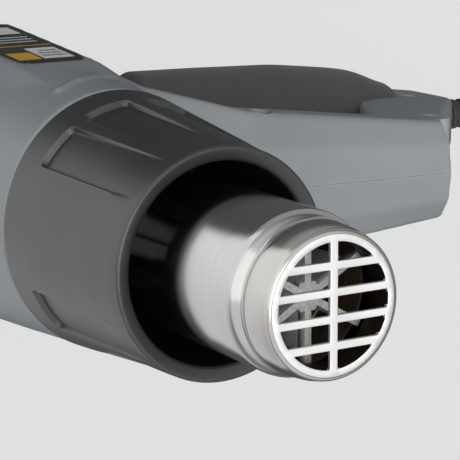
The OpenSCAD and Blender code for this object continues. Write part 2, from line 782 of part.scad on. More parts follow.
// motor, shaft and fan
module motor_can() {
    color(steel) {
        translate([0, 0, motor_z]) difference() {
            cylinder(h = motor_len, r = motor_d / 2);
            translate([0, 0, -over]) cylinder(h = motor_len - can_wall + over, r = motor_d / 2 - can_wall);
            cylinder(h = motor_len + over, r = bush_r + pilot_gap);
        }
        for (a = [90, 270]) rotate(a - 60) translate([0, 0, motor_z + rotor_z_share * motor_len])
            rotate_extrude(angle = 120) translate([motor_d / 2 - can_wall - magnet_t, 0])
                square([magnet_t + can_wall / 2, rotor_len_share * motor_len]);
    }
}
module motor_end_bell() {
    color(black) translate([0, 0, bell_z]) difference() {
        union() {
            cylinder(h = bell_t, r = motor_d / 2);
            cylinder(h = bell_t + can_wall, r = motor_d / 2 - can_wall - pilot_gap);
        }
        translate([0, 0, -over]) cylinder(h = 2 * bell_t, r = bush_r + pilot_gap);
    }
}
module motor_bushes() {
    color(brassy) for (z = [bell_z, motor_top - can_wall - bush_t / 2]) translate([0, 0, z]) difference() {
        cylinder(h = bush_t + can_wall, r = bush_r);
        translate([0, 0, -over]) cylinder(h = 3 * bush_t, r = shaft_d / 2 + run_gap);
    }
}
module motor_shaft() {
    color(steel) translate([0, 0, bell_z - board_t]) cylinder(h = shaft_top - bell_z + board_t, r = shaft_d / 2);
    color(brassy) translate([0, 0, motor_z + rotor_z_share * motor_len])
        cylinder(h = rotor_len_share * motor_len, r = motor_d / 2 - can_wall - magnet_t - rotor_gap);
}
module fan() {
    color(dark) translate([0, 0, fan_z]) difference() {
        union() {
            cylinder(h = fan_h, r = fan_hub_r);
            cylinder(h = fan_plate_t, r = fan_d / 2);
            for (i = [0 : fan_blades - 1]) rotate(360 * i / fan_blades)
                translate([fan_hub_r - over, 0, fan_plate_t / 2]) rotate(25)
                    cube([(fan_d / 2 - fan_hub_r) * 0.94, blade_t, fan_h - fan_plate_t]);
        }
        translate([0, 0, -over]) cylinder(h = 2 * fan_h, r = shaft_d / 2);
    }
}
module motor_mount() {
    base_z = motor_top - mount_lap;
    rim_r = mount_rim_share * barrel_d / 2;
    duct_r = fan_d / 2 + duct_gap;
    collar_r = motor_d / 2 + mount_rim_t;
    color(dark) difference() {
        union() {
            translate([-barrel_shift, 0, base_z]) difference() {
                cylinder(h = mount_lap + rear_cap_t, r = rim_r);
                translate([0, 0, -over]) cylinder(h = 2 * barrel_d, r = rim_r - mount_rim_t);
            }
            translate([0, 0, base_z]) cylinder(h = mount_lap, r = collar_r);
            for (i = [0 : mount_arms - 1]) rotate(360 * (i + 0.5) / mount_arms)
                translate([collar_r - over, -mount_arm_w / 2, base_z])
                    cube([rim_r - collar_r - barrel_shift, mount_arm_w, mount_lap - can_wall]);
            translate([0, 0, base_z + mount_lap - can_wall]) cylinder(h = duct_len + can_wall, r = duct_r + duct_wall);
        }
        translate([0, 0, base_z - over]) cylinder(h = mount_lap + 2 * over, r = motor_d / 2 + pilot_gap);
        translate([0, 0, motor_top]) cylinder(h = 2 * duct_len, r = duct_r);
        for (i = [0 : mount_arms - 1]) rotate(360 * i / mount_arms)
            translate([(collar_r + duct_r) / 2, 0, base_z - over])
                cylinder(h = mount_lap + 2 * over, r = mount_hole_share * (duct_r - collar_r) / 2);
    }
}
module rectifier_board() {
    color([0.15, 0.4, 0.2]) translate([0, 0, board_z]) difference() {
        cylinder(h = board_t, r = board_r);
        translate([0, 0, -over]) cylinder(h = 4 * board_t, r = shaft_d);
    }
    color(black) for (a = [0 : 90 : 270]) rotate(a + 45) translate([board_r / 2, 0, board_z + board_t])
        cylinder(h = bell_z - board_z - board_t, r = lead_d);
}

// switch in the grip
module switch_body() {
    color(black) difference() {
        translate([-switch_drop - switch_len / 2, -switch_w / 2, switch_z]) cube([switch_len, switch_w, switch_t]);
        translate([-switch_drop - knob_len / 2, -knob_stem_w / 2 - window_gap, switch_z - over])
            cube([knob_len + switch_travel, knob_stem_w + 2 * window_gap, switch_t / 2 + over]);
    }
}
grip_back_z = cord_z + grip_rise * grip_rise_shares[1] - grip_depth_half * grip_d_shares[1];
module switch_slider() {
    color(black) difference() {
        union() {
            translate([-switch_drop - knob_len / 2 + window_gap, -knob_w / 2, grip_back_z - knob_proud])
                cube([knob_len - 2 * window_gap, knob_w, switch_z - gap - grip_back_z + knob_proud]);
            translate([-switch_drop - knob_stem_w / 2, -knob_stem_w / 2, switch_z - over])
                cube([knob_stem_w, knob_stem_w, switch_t / 2]);
        }
        for (i = [0 : knob_ribs - 1]) translate([-switch_drop + (i + 0.5 - knob_ribs / 2) * 2 * knob_rib_w - knob_rib_w / 2,
            -knob_w, grip_back_z - knob_proud - over]) cube([knob_rib_w, 2 * knob_w, over + knob_rib_w]);
    }
}

// label plate on the flat side panel
module label_plate() {
    color(black) label_frame() translate([-label_w / 2, -label_t - pilot_gap / 5, -label_len])
        cube([label_w, label_t, label_len]);
}

module housing_screws() {
    color(steel) for (p = screw_places) translate([p[0], -screw_seat, p[1]]) rotate([-90, 0, 0]) difference() {
        union() {
            cylinder(h = screw_len, r = screw_d / 2);
            translate([0, 0, -screw_head_t]) cylinder(h = screw_head_t, r = screw_head_d / 2);
        }
        for (a = [0, 90]) rotate(a) translate([-screw_head_d / 3, -slot_w / 2, -screw_head_t - over])
            cube([2 * screw_head_d / 3, slot_w, over + slot_depth]);
    }
}

// wiring in the handle
block_z = cord_z - cavity_wall / 2 + 2 * gap;
module terminal_block() {
    color(bright) translate([-block_drop - block_len / 2, -block_w / 2, block_z]) difference() {
        cube([block_len, block_w, block_h]);
        for (s = [-1, 1]) translate([-over, block_w / 2 + s * block_w / 4, block_h / 2]) rotate([0, 90, 0])
            cylinder(h = block_len + 2 * over, r = block_screw_r);
    }
}
module internal_leads() {
    y = block_w / 4;
    z = block_z + block_h / 2;
    reach = switch_drop + switch_len / 2;
    color([0.5, 0.25, 0.15]) for (s = [-1, 1]) {
        sweep([[-block_drop + block_len / 2 - 2 * over, s * y, z], [-reach - 2 * cavity_wall, s * y, z],
            [-reach - cavity_wall / 2, s * y, switch_z + switch_t / 2 - 2 * over],
            [-reach - over, s * y, switch_z + switch_t / 2], [-reach - gap, s * y, switch_z + switch_t / 2]], lead_d / 2, 8);
        sweep([[switch_len / 2 + gap - switch_drop, s * y, switch_z + switch_t / 2],
            [switch_len / 2 + cavity_wall - switch_drop, s * y, switch_z + switch_t / 2],
            [-core_root_drop - 4 * over, s * y, switch_z + 3 * over],
            [4 * over - core_root_drop, s * y, motor_z + 3 * cavity_wall],
            [-board_r - 3 * over, s * y, board_z + board_t + cavity_wall],
            [-board_r, s * y, board_z + board_t + over]], lead_d / 2, 8);
    }
}
module cord_clamp() {
    color(black) translate([-clamp_drop - clamp_len, -clamp_w / 2, cord_z + cord_d / 2 + clamp_gap]) difference() {
        cube([clamp_len, clamp_w, clamp_t - clamp_gap]);
        for (s = [-1, 1]) translate([clamp_len / 2, clamp_w / 2 + s * clamp_screw_off, -over])
            cylinder(h = clamp_t + 2 * over, r = clamp_screw_r + pilot_gap);
    }
}
module clamp_screws() {
    color(steel) for (s = [-1, 1])
        translate([-clamp_drop - clamp_len / 2, s * clamp_screw_off, cord_z + cord_d / 2 + clamp_t]) {
            translate([0, 0, -clamp_screw_len + clamp_t]) cylinder(h = clamp_screw_len - clamp_t, r = clamp_screw_r);
            cylinder(h = clamp_head_t, r = clamp_head_r);
        }
}
module strain_relief() {
    tail = relief_len + foot_wall;
    rib = (relief_len - relief_flange_t) / relief_ribs;
    function taper(u) = relief_r + (relief_tip_r - relief_r) * u;
    body = [for (i = [0 : relief_ribs - 1]) let (u = i / relief_ribs, v = (i + relief_rib_share) / relief_ribs,
        x0 = base_round + foot_wall / 2 + i * rib, x1 = x0 + relief_rib_share * rib)
            each [[taper(u), x0], [taper(v), x1], [taper(v) - relief_rib_depth, x1], [taper(v) - relief_rib_depth, x0 + rib]]];
    start = relief_x;
    color(black) translate([start, 0, cord_z]) rotate([0, -90, 0]) rotate_extrude() polygon(concat(
        [[cord_d / 2 + pilot_gap, -relief_flange_t], [relief_flange_r, -relief_flange_t], [relief_flange_r, 0],
            [relief_neck_r, 0], [relief_neck_r, base_round + foot_wall / 2]],
        body, [[relief_tip_r, tail], [cord_d / 2 + pilot_gap, tail]]));
}

// the free cord: points chosen by hand, from the clamp to the coil
cord_route = [[-144, 0, 45], [-160, 0, 45], [-176, 0, 45], [-192, 0, 45], [-206, 0, 45], [-220, 0, 45],
    [-227.1, 0.4, 44.6], [-234, 1.7, 43.5], [-240.6, 3.8, 41.7], [-246.7, 6.6, 39.3], [-252.1, 10.1, 36.2],
    [-256.7, 14.2, 32.6], [-260.3, 18.9, 28.6], [-263, 23.8, 24.3], [-265.7, 28.8, 19.9], [-269.3, 33.5, 15.9],
    [-273.9, 37.6, 12.3], [-279.3, 41.1, 9.2], [-285.4, 43.9, 6.8], [-292, 46, 5], [-298.9, 47.3, 3.9], [-306, 47.7, 3.5]];
coil_x = -314;
coil_y = -4;
coil_pitch = cord_d + 0.6;
coil_outer_r = coil_inner_d / 2 + coil_layer_turns * coil_pitch;
coil_steps = 24 * coil_layer_turns;
coil_low = cord_d / 2;
function spiral(a, r, z) = [coil_x + r * cos(a + 90), coil_y + r * sin(a + 90), z];
stored_path = concat(
    [[coil_x + cord_d + over, coil_y + coil_outer_r, coil_low]],
    [for (i = [0 : coil_steps]) spiral(15 * i, coil_outer_r - coil_pitch * i / 24,
        coil_low + coil_pitch * max(0, (i - coil_steps + 6) / 12))],
    [for (i = [1 : coil_steps]) spiral(15 * (coil_steps + i), coil_inner_d / 2 + coil_pitch * i / 24,
        coil_low + coil_pitch * min(1, (i + 6) / 12))],
    [[coil_x + cord_d, coil_y - coil_outer_r, coil_low + coil_pitch]]);
module cord() {
    color(black) sweep(cord_route, cord_d / 2, 10);
}
module cord_coil() {
    color(black) sweep(stored_path, cord_d / 2, 6);
}
least_gap = min([for (i = [0 : len(stored_path) - 1]) for (j = [i + 12 : 1 : len(stored_path) - 1])
    norm(stored_path[i] - stored_path[j])]) - cord_d;
echo(cord_coil_gap = least_gap);
echo(cord_length = path_length(cord_route) + path_length(stored_path) + path_length(tail_path));
function path_length(p) = sum_of([for (i = [1 : len(p) - 1]) norm(p[i] - p[i - 1])]);
function sum_of(v, i = 0) = i < len(v) ? v[i] + sum_of(v, i + 1) : 0;

// the end of the cord turns back over the coil, and the plug lies on top:
// places from the coil's last point, and the share of the rise
tail_places = [[0, 0, 0], [8, 0, 0], [15.8, 1, 0], [23, 4, 0.12], [29.2, 8.8, 0.25], [34, 15, 0.37], [37, 22.2, 0.5], [38, 30, 0.63],
    [37, 37.8, 0.75], [34, 45, 0.88], [29.2, 51.2, 1], [23, 56, 1], [15.8, 59, 1], [8, 60, 1], [2, 60, 1]];
coil_high = coil_low + coil_pitch;
plug_round = 5;
plug_neck_r = 5.5;
plug_face_t = 5;
plug_grip_share = 0.35;
plug_waist_share = 0.8;
plug_lift = 0.2;
plug_z = coil_high + cord_d / 2 + plug_h / 2 + plug_lift;
tail_path = [for (p = tail_places) [coil_x + cord_d + p[0], coil_y - coil_outer_r + p[1], coil_high + p[2] * (plug_z - coil_high)]];
module cord_tail() {
    color(black) sweep(tail_path, cord_d / 2, 10);
}
module plug_place() {
    translate(tail_path[len(tail_path) - 1]) rotate([0, 0, 180]) children();
}
// one length of the plug: a bar with rounded edges
module plug_bar(x, len, w, h) {
    translate([x, 0, 0]) rotate([90, 0, 90]) linear_extrude(height = len) {
        square([w - 2 * plug_round, h], center = true);
        square([w, h - 2 * plug_round], center = true);
        for (sy = [-1, 1]) for (sz = [-1, 1])
            translate([sy * (w / 2 - plug_round), sz * (h / 2 - plug_round)]) circle(r = plug_round);
    }
}
module plug_body() {
    neck = plug_grip_share * plug_len;
    color(black) plug_place() {
        rotate([0, 90, 0]) cylinder(h = neck + over, r1 = plug_neck_r, r2 = plug_h * plug_waist_share / 2 - over / 2);
        plug_bar(neck, plug_len - neck, plug_w * plug_waist_share, plug_h * plug_waist_share);
        plug_bar(plug_len - plug_face_t, plug_face_t, plug_w, plug_h);
    }
}
module plug_pins() {
    color(steel) plug_place() for (s = [-1, 1]) translate([plug_len, s * pin_pitch / 2, 0]) rotate([0, 90, 0]) {
        cylinder(h = pin_len - pin_d / 4, r = pin_d / 2);
        translate([0, 0, pin_len - pin_d / 4]) cylinder(h = pin_d / 4, r1 = pin_d / 2, r2 = pin_d / 4);
    }
}

housing_label_side();
housing_plain_side();
grip_label_side();
grip_plain_side();
guard_sleeve();
nozzle_tube();
nozzle_flange();
outlet_grille();
element_star();
element_core();
heating_coil();
mica_sleeve();
element_root();
thermal_cutout();
sleeve_carrier();
rear_cap();
motor_can();
motor_end_bell();
motor_bushes();
motor_shaft();
fan();
motor_mount();
rectifier_board();
switch_body();
switch_slider();
label_plate();
housing_screws();
terminal_block();
internal_leads();
cord_clamp();
clamp_screws();
strain_relief();
cord();
cord_coil();
cord_tail();
plug_body();
plug_pins();
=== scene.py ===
# %% [markdown]
# # A mains heat gun with a closed handle
# The heat gun stands on its flat rear end with the nozzle up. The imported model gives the
# frame: every node is already in its place, in metres. Pieces whose shape is right keep
# their mesh and get a finish here; the moulded shells, the soft grip, the guard sleeve,
# the nozzle, the label and the cord are worked out again as finer surfaces.

# %% Load the frame
import bmesh
import bpy
import numpy as np
from mathutils import Matrix


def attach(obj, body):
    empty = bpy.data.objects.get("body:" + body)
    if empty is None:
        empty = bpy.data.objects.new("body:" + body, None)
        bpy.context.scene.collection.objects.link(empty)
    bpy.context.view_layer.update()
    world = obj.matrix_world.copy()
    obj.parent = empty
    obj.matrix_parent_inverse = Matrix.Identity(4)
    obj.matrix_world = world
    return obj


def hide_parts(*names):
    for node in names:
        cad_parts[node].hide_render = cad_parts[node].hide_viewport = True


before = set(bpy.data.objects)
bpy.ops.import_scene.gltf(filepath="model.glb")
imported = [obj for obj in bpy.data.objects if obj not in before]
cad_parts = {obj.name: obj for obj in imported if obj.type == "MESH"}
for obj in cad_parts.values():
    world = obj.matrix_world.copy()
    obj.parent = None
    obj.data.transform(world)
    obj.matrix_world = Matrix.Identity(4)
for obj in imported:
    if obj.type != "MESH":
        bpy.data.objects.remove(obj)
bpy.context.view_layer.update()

MM = 0.001

# %% [markdown]
# ## The camera
# The picture is taken from in front of the nozzle and a little from the label's side, so
# the nozzle comes towards the eye and the handle leaves the picture on the right. Four
# numbers place the camera: its point, the direction it looks in, the direction to its
# right, and its focal length. They were worked out from edges of known height.

# %% Camera
SENSOR_MM, FOCAL_PX, PICTURE_PX = 36.0, 2000, 460


def matrix_of(axes, at):
    """The matrix that takes X, Y and Z to the columns of axes, and the origin to a point."""
    return Matrix([[*row, place] for row, place in zip(axes, at)] + [[0, 0, 0, 1]])


eye = np.array([236.724, -106.858, 598.779]) * MM
ahead = np.array([-0.5051, 0.2087, -0.8374])
right = np.array([-0.8557, 0.0051, 0.5174])
ahead /= np.linalg.norm(ahead)
right -= ahead * (right @ ahead)
right /= np.linalg.norm(right)
up = np.cross(right, ahead)
lens = bpy.data.cameras.new("camera")
lens.sensor_width = SENSOR_MM
lens.lens = SENSOR_MM * FOCAL_PX / PICTURE_PX
lens.clip_start, lens.clip_end = 0.01, 20.0
camera = bpy.data.objects.new("camera", lens)
camera.matrix_world = matrix_of(np.array([right, up, -ahead]).T, eye)
bpy.context.collection.objects.link(camera)
bpy.context.scene.camera = camera
print("camera", [round(float(c), 4) for c in eye], "lens", round(lens.lens, 1), "mm")

# %% [markdown]
# ## How a surface becomes a mesh
# Each new piece is a grid of points: one parameter runs round the piece and the other
# along it. Neighbouring points are joined into squares. A grid that closes both ways is
# a ring without edges; one that closes one way gets a point in the middle of each end.

# %% Grid helpers
def full_turn(columns):
    """Even angles once round a circle."""
    return np.linspace(0, 2 * np.pi, columns, endpoint=False)


def turned(r, h, a):
    """A profile turned round Z: point (i, j) = (r_i cos a_j, r_i sin a_j, h_i)."""
    return np.stack([r[:, None] * np.cos(a), r[:, None] * np.sin(a), np.repeat(h[:, None], len(a), 1)], -1)


def squares(rows, columns, close_rows=False):
    """Faces of a grid whose columns close: point (i, j) has number i * columns + j, and a
    square joins (i, j), (i, j+1), (i+1, j+1) and (i+1, j)."""
    i = np.arange(rows if close_rows else rows - 1)[:, None]
    j = np.arange(columns)[None, :]
    i2, j2 = (i + 1) % rows, (j + 1) % columns
    corners = [i * columns + j, i * columns + j2, i2 * columns + j2, i2 * columns + j]
    return np.stack(corners, -1).reshape(-1, 4)


def closed_ring(rings):
    """Points and faces of rings[i, j] that close both ways, like a tyre."""
    return rings.reshape(-1, 3), squares(*rings.shape[:2], close_rows=True).tolist()


def closed_tube(rings):
    """Points and faces of rings[i, j] closed at both ends: the middle of each end ring is its mean."""
    rows, columns = rings.shape[:2]
    points = np.concatenate([rings.reshape(-1, 3), rings[:1].mean(1), rings[-1:].mean(1)])
    j = np.arange(columns)
    j2 = (j + 1) % columns
    last = (rows - 1) * columns
    start = np.stack([np.full(columns, rows * columns), j2, j], 1)
    end = np.stack([np.full(columns, rows * columns + 1), last + j, last + j2], 1)
    return points, [*squares(rows, columns).tolist(), *start.tolist(), *end.tolist()]


def read(items, attribute, width=3, kind=float):
    """One attribute of every vertex, face or loop, as an array with a row for each."""
    flat = np.empty(len(items) * width, dtype=kind)
    items.foreach_get(attribute, flat)
    return flat.reshape(-1, width)


def volume_of(mesh):
    """Signed volume: a sixth of the sum of the triple products of all triangles."""
    mesh.calc_loop_triangles()
    corners = read(mesh.vertices, "co")[read(mesh.loop_triangles, "vertices", kind=int)]
    a, b, c = corners.transpose(1, 0, 2)
    return float((a * np.cross(b, c)).sum() / 6)


def mesh_object(name, points, faces, smooth_angle=40):
    """A mesh from points in millimetres, faces outward, edges sharper than the angle kept sharp."""
    mesh = bpy.data.meshes.new(name)
    mesh.from_pydata((np.asarray(points) * MM).tolist(), [], [list(f) for f in faces])
    mesh.validate()
    if volume_of(mesh) < 0:
        mesh.flip_normals()
    mesh.shade_smooth()
    mesh.set_sharp_from_angle(angle=np.radians(smooth_angle))
    made = bpy.data.objects.new(name, mesh)
    bpy.context.collection.objects.link(made)
    return made


def with_modifiers(made, *settings):
    """Adds modifiers, each (kind, {setting: value}), and bakes them into the object's mesh."""
    for kind, values in settings:
        modifier = made.modifiers.new(kind.lower(), kind)
        for key, value in values.items():
            setattr(modifier, key, value)
    bpy.context.view_layer.update()
    baked = bpy.data.meshes.new_from_object(made.evaluated_get(bpy.context.evaluated_depsgraph_get()))
    old = made.data
    made.modifiers.clear()
    made.data = baked
    bpy.data.meshes.remove(old)


def cut(made, tool, operation="DIFFERENCE"):
    """Takes the tool away from the piece, or adds it or keeps what they share, and deletes it."""
    with_modifiers(made, ("BOOLEAN", {"operation": operation, "object": tool, "solver": "MANIFOLD"}))
    bpy.data.objects.remove(tool)


def joined(name, parts):
    """One object of several (points, faces) sets, each set closed by itself."""
    points, faces, first = [], [], 0
    for p, f in parts:
        points.append(np.asarray(p))
        faces += [[k + first for k in face] for face in f]
        first += len(p)
    return mesh_object(name, np.concatenate(points), faces)


def smooth_steps(x, low, high):
    """0 below low, 1 above high, and 3t^2 - 2t^3 between them."""
    t = np.clip((x - low) / (high - low), 0, 1)
    return t * t * (3 - 2 * t)


def eased(x, xs, ys):
    """A smooth curve through points: the table's straight lines, averaged over +-3 % of its length."""
    xs, ys = np.asarray(xs, float), np.asarray(ys, float)
    window = np.linspace(-1, 1, 9) * (xs.max() - xs.min()) * 0.03
    return np.mean([np.interp(x + w, xs, ys) for w in window], 0)


# %% [markdown]
# ## The mains cord
# A three-core rubber cord, 7 mm thick and 1.9 m long, leaves the handle's foot through
# its strain relief, falls to the table and lies in a flat coil of two layers, with the
# plug on top. The photograph shows only its first centimetre, so the coil lies outside
# the picture. A cord is a circle carried along a path; a Blender curve with a round bevel
# is that, and keeps its true length.

# %% Cord route
route = np.array([
    (-160, 0, 45), (-176, 0, 45), (-192, 0, 45), (-206, 0, 45), (-220, 0, 45), (-227.1, 0.4, 44.6),
    (-234, 1.7, 43.5), (-240.6, 3.8, 41.7), (-246.7, 6.6, 39.3), (-252.1, 10.1, 36.2),
    (-256.7, 14.2, 32.6), (-260.3, 18.9, 28.6), (-263, 23.8, 24.3), (-265.7, 28.8, 19.9),
    (-269.3, 33.5, 15.9), (-273.9, 37.6, 12.3), (-279.3, 41.1, 9.2), (-285.4, 43.9, 6.8),
    (-292, 46, 5), (-298.9, 47.3, 3.9)], float)
CORD_D, COIL_X, COIL_Y, PITCH, INNER_R, TURNS = 7.0, -314.0, -4.0, 7.6, 27.0, 3.25
OUTER_R = INNER_R + TURNS * PITCH
STEP_DEG, PER_TURN, CLIMB = 15, 24, 12
steps = int(PER_TURN * TURNS)


def spiral(step, radius, height):
    """x = coil_x + r cos(a + 90), y = coil_y + r sin(a + 90): a turn that starts where the route comes in."""
    a = np.radians(STEP_DEG * step + 90)
    return np.stack([COIL_X + radius * np.cos(a), COIL_Y + radius * np.sin(a), height], 1)


# The lower layer winds inwards and the upper one outwards; the climb between them takes
# twelve steps, six in each layer.
i = np.arange(steps + 1)
climbed = np.maximum(0, (i - steps + CLIMB / 2) / CLIMB)
low = spiral(i, OUTER_R - PITCH * i / PER_TURN, CORD_D / 2 + PITCH * climbed)
i = np.arange(1, steps + 1)
climbed = np.minimum(1, (i + CLIMB / 2) / CLIMB)
high = spiral(steps + i, INNER_R + PITCH * i / PER_TURN, CORD_D / 2 + PITCH * climbed)
tail = np.array([
    (0, 0, 0), (8, 0, 0), (15.8, 1, 0), (23, 4, 0.12), (29.2, 8.8, 0.25), (34, 15, 0.37),
    (37, 22.2, 0.5), (38, 30, 0.63), (37, 37.8, 0.75), (34, 45, 0.88), (29.2, 51.2, 1),
    (23, 56, 1), (15.8, 59, 1), (8, 60, 1), (2, 60, 1), (-4, 60, 1)])
TAIL_RISE = 13.7
tail = tail * (1, 1, TAIL_RISE) + (COIL_X + CORD_D, COIL_Y - OUTER_R, CORD_D / 2 + PITCH)
path = np.concatenate([route, [(-306, COIL_Y + OUTER_R, CORD_D / 2)], low, high, tail])


def through(points, between=3):
    """Catmull-Rom: from p1 to p2 runs a cubic whose slopes there are half of p2 - p0 and p3 - p1."""
    p = np.concatenate([points[:1], points, points[-1:]])
    t = np.linspace(0, 1, between, endpoint=False)[None, :, None]
    p0, p1, p2, p3 = (p[k:len(p) - 3 + k, None] for k in range(4))
    fine = 0.5 * (2 * p1 + (p2 - p0) * t + (2 * p0 - 5 * p1 + 4 * p2 - p3) * t**2
                  + (3 * p1 - p0 - 3 * p2 + p3) * t**3)
    return np.concatenate([fine.reshape(-1, 3), points[-1:]])


line = through(path) * MM
curve = bpy.data.curves.new("mains_cord", "CURVE")
curve.dimensions = "3D"
spline = curve.splines.new("POLY")
spline.points.add(len(line) - 1)
spline.points.foreach_set("co", np.concatenate([line, np.ones((len(line), 1))], 1).ravel())
spline.points.foreach_set("radius", np.full(len(line), CORD_D / 2 * MM))
curve.bevel_depth = 1.0
curve.bevel_resolution = 4
curve.use_fill_caps = True
cord = bpy.data.objects.new("mains_cord", curve)
bpy.context.collection.objects.link(cord)
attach(cord, "housing")
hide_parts("cord", "cord_coil", "cord_tail")

# %% [markdown]
# ## Colours and the node helper
# Colours are written as the sRGB hex values a paint chart would give, and one function
# turns them to the linear values that Blender mixes. One small function adds a node,
# sets it and links its inputs: a pair (node, output) as a value means a link, and the
# output is a name or, for the Mix node with its many results, a number.

# %% Material helpers
MIX_A, MIX_B, MIX_COLOUR = 6, 7, 2
# most values of a noise lie between these
NOISE = {"From Min": 0.3, "From Max": 0.7}


def linear(hex_code):
    """sRGB to linear: c / 12.92 below 0.04045, else ((c + 0.055) / 1.055) ^ 2.4."""
    c = np.array([int(hex_code[k:k + 2], 16) for k in (1, 3, 5)]) / 255
    c = np.where(c <= 0.04045, c / 12.92, ((c + 0.055) / 1.055) ** 2.4)
    return (*[float(v) for v in c], 1.0)


def add(tree, kind, inputs=None, **settings):
    """Adds a node with its settings and fills its inputs: a (node, output) pair is linked, the rest is set."""
    made = tree.nodes.new(kind)
    for key, value in settings.items():
        setattr(made, key, value)
    for key, value in (inputs or {}).items():
        socket = made.inputs[key]
        if isinstance(value, tuple) and len(value) == 2 and isinstance(value[0], bpy.types.Node):
            tree.links.new(value[0].outputs[value[1]], socket)
        else:
            socket.default_value = value
    return made


def new_material(name):
    """An empty material with its output node; returns the material and its tree."""
    made = bpy.data.materials.new(name)
    made.use_nodes = True
    made.node_tree.nodes.clear()
    return made, made.node_tree


def ramp(tree, fac, *stops):
    """A colour ramp from (place, hex or grey) stops."""
    made = add(tree, "ShaderNodeValToRGB", {"Fac": fac})
    band = made.color_ramp
    while len(band.elements) < len(stops):
        band.elements.new(0.5)
    for element, (place, value) in zip(band.elements, stops):
        element.position = place
        element.color = linear(value) if isinstance(value, str) else (value, value, value, 1)
    return made


# %% [markdown]
# ## Moulded plastics
# The housing is grey glass-filled nylon: a spark-eroded mould leaves a fine satin grain
# about 0.45 mm across, the colour is even, and rubbed edges are a little lighter. The
# sleeve and the small black parts are the same nylon in black, with a slightly coarser
# and deeper grain and more shine. A noise for the grain drives a bump; a broad noise
# varies colour and roughness by a few percent; Pointiness lightens the worn edges.
# Nylon's IOR is 1.53.

# %% Plastic
MOTTLE_MM, GRAIN_DEPTH_MM = 30, 0.06


def plastic(name, base, worn, rough, grain_mm, bump, ior=1.53, sheen=0.0, gleam=0.5):
    """Grain: noise of one cell per grain_mm on Object coordinates; mottling: one cell per 30 mm."""
    made, tree = new_material(name)
    where = add(tree, "ShaderNodeTexCoord")
    grain = add(tree, "ShaderNodeTexNoise", {
        "Vector": (where, "Object"), "Scale": 1 / (grain_mm * MM), "Detail": 2.0, "Roughness": 0.55})
    broad = add(tree, "ShaderNodeTexNoise", {
        "Vector": (where, "Object"), "Scale": 1 / (MOTTLE_MM * MM), "Detail": 4.0, "Roughness": 0.6})
    shape = add(tree, "ShaderNodeNewGeometry")
    edge = ramp(tree, (shape, "Pointiness"), (0.515, 0.0), (0.56, 1.0))
    wear = add(tree, "ShaderNodeMath", {0: (edge, "Color"), 1: (broad, "Fac")}, operation="MULTIPLY")
    tone = ramp(tree, (broad, "Fac"), (0.3, base[0]), (0.7, base[1]))
    mix = add(tree, "ShaderNodeMix", {
        0: (wear, "Value"), MIX_A: (tone, "Color"), MIX_B: linear(worn)}, data_type="RGBA")
    gloss = add(tree, "ShaderNodeMapRange", {
        "Value": (broad, "Fac"), **NOISE, "To Min": rough - 0.04, "To Max": rough + 0.05})
    relief = add(tree, "ShaderNodeBump", {
        "Height": (grain, "Fac"), "Strength": bump, "Distance": GRAIN_DEPTH_MM * MM})
    skin = add(tree, "ShaderNodeBsdfPrincipled", {
        "Base Color": (mix, MIX_COLOUR), "Roughness": (gloss, "Result"), "Normal": (relief, "Normal"),
        "IOR": ior, "Sheen Weight": sheen, "Specular IOR Level": gleam})
    add(tree, "ShaderNodeOutputMaterial", {"Surface": (skin, "BSDF")})
    return made


grey_nylon = plastic("grey_glass_filled_nylon", ("#7C8083", "#83878A"), "#A3A6A8", 0.42, 0.45, 0.45, gleam=0.6)
black_nylon = plastic("black_nylon_satin", ("#1C1C1D", "#232324"), "#3A3A3A", 0.38, 0.55, 0.7, gleam=0.8)
dark_nylon = plastic("dark_nylon_inner", ("#232425", "#2B2C2D"), "#444546", 0.5, 0.5, 0.3)
pale_nylon = plastic("pale_terminal_nylon", ("#D8D4C6", "#E0DCCF"), "#EEEBE2", 0.45, 0.5, 0.2)
print("plastics", [m.name for m in (grey_nylon, black_nylon, dark_nylon, pale_nylon)])

# %% [markdown]
# ## Rubbers
# The grip wears a soft thermoplastic elastomer, moulded over the nylon: dead matt, warm
# dark grey, with a leathery grain near 0.7 mm and a faint velvet sheen at grazing angles.
# The cord is the same kind of rubber, pulled through a die, so its grain lies flatter and
# it is a little glossier; the leads inside wear smooth PVC. The plastic recipe holds for
# all three.

# %% Rubber
soft_rubber = plastic("overmoulded_elastomer", ("#3A3A39", "#434241"), "#55534F", 0.62, 0.7, 0.55,
                      ior=1.5, sheen=0.12)
cord_rubber = plastic("extruded_cord_rubber", ("#1E1E1F", "#262627"), "#3A3A3A", 0.5, 0.6, 0.3,
                      ior=1.52, sheen=0.05)
lead_plastic = plastic("wire_insulation_pvc", ("#6B3A22", "#7A4428"), "#8C5A3C", 0.4, 0.4, 0.1)
curve.materials.append(cord_rubber)
print("rubbers", [m.name for m in (soft_rubber, cord_rubber, lead_plastic)])

# %% [markdown]
# ## Metals
# The nozzle is drawn stainless steel, polished on a lathe: hair lines run round it, a few
# in every millimetre, and years of heat leave a light straw tint towards the tip. Lines
# that run round the axis are a noise squeezed along Z: nearly the same value all the way
# round, a new one every 0.3 mm of height. Where the hot air passes inside, the steel has
# burnt to a dark, rough scale. Metals keep the default IOR.

# %% Metal
LINE_WIDTH_MM, LINE_DEPTH_MM, BLOT_MM = 40, 0.02, 12


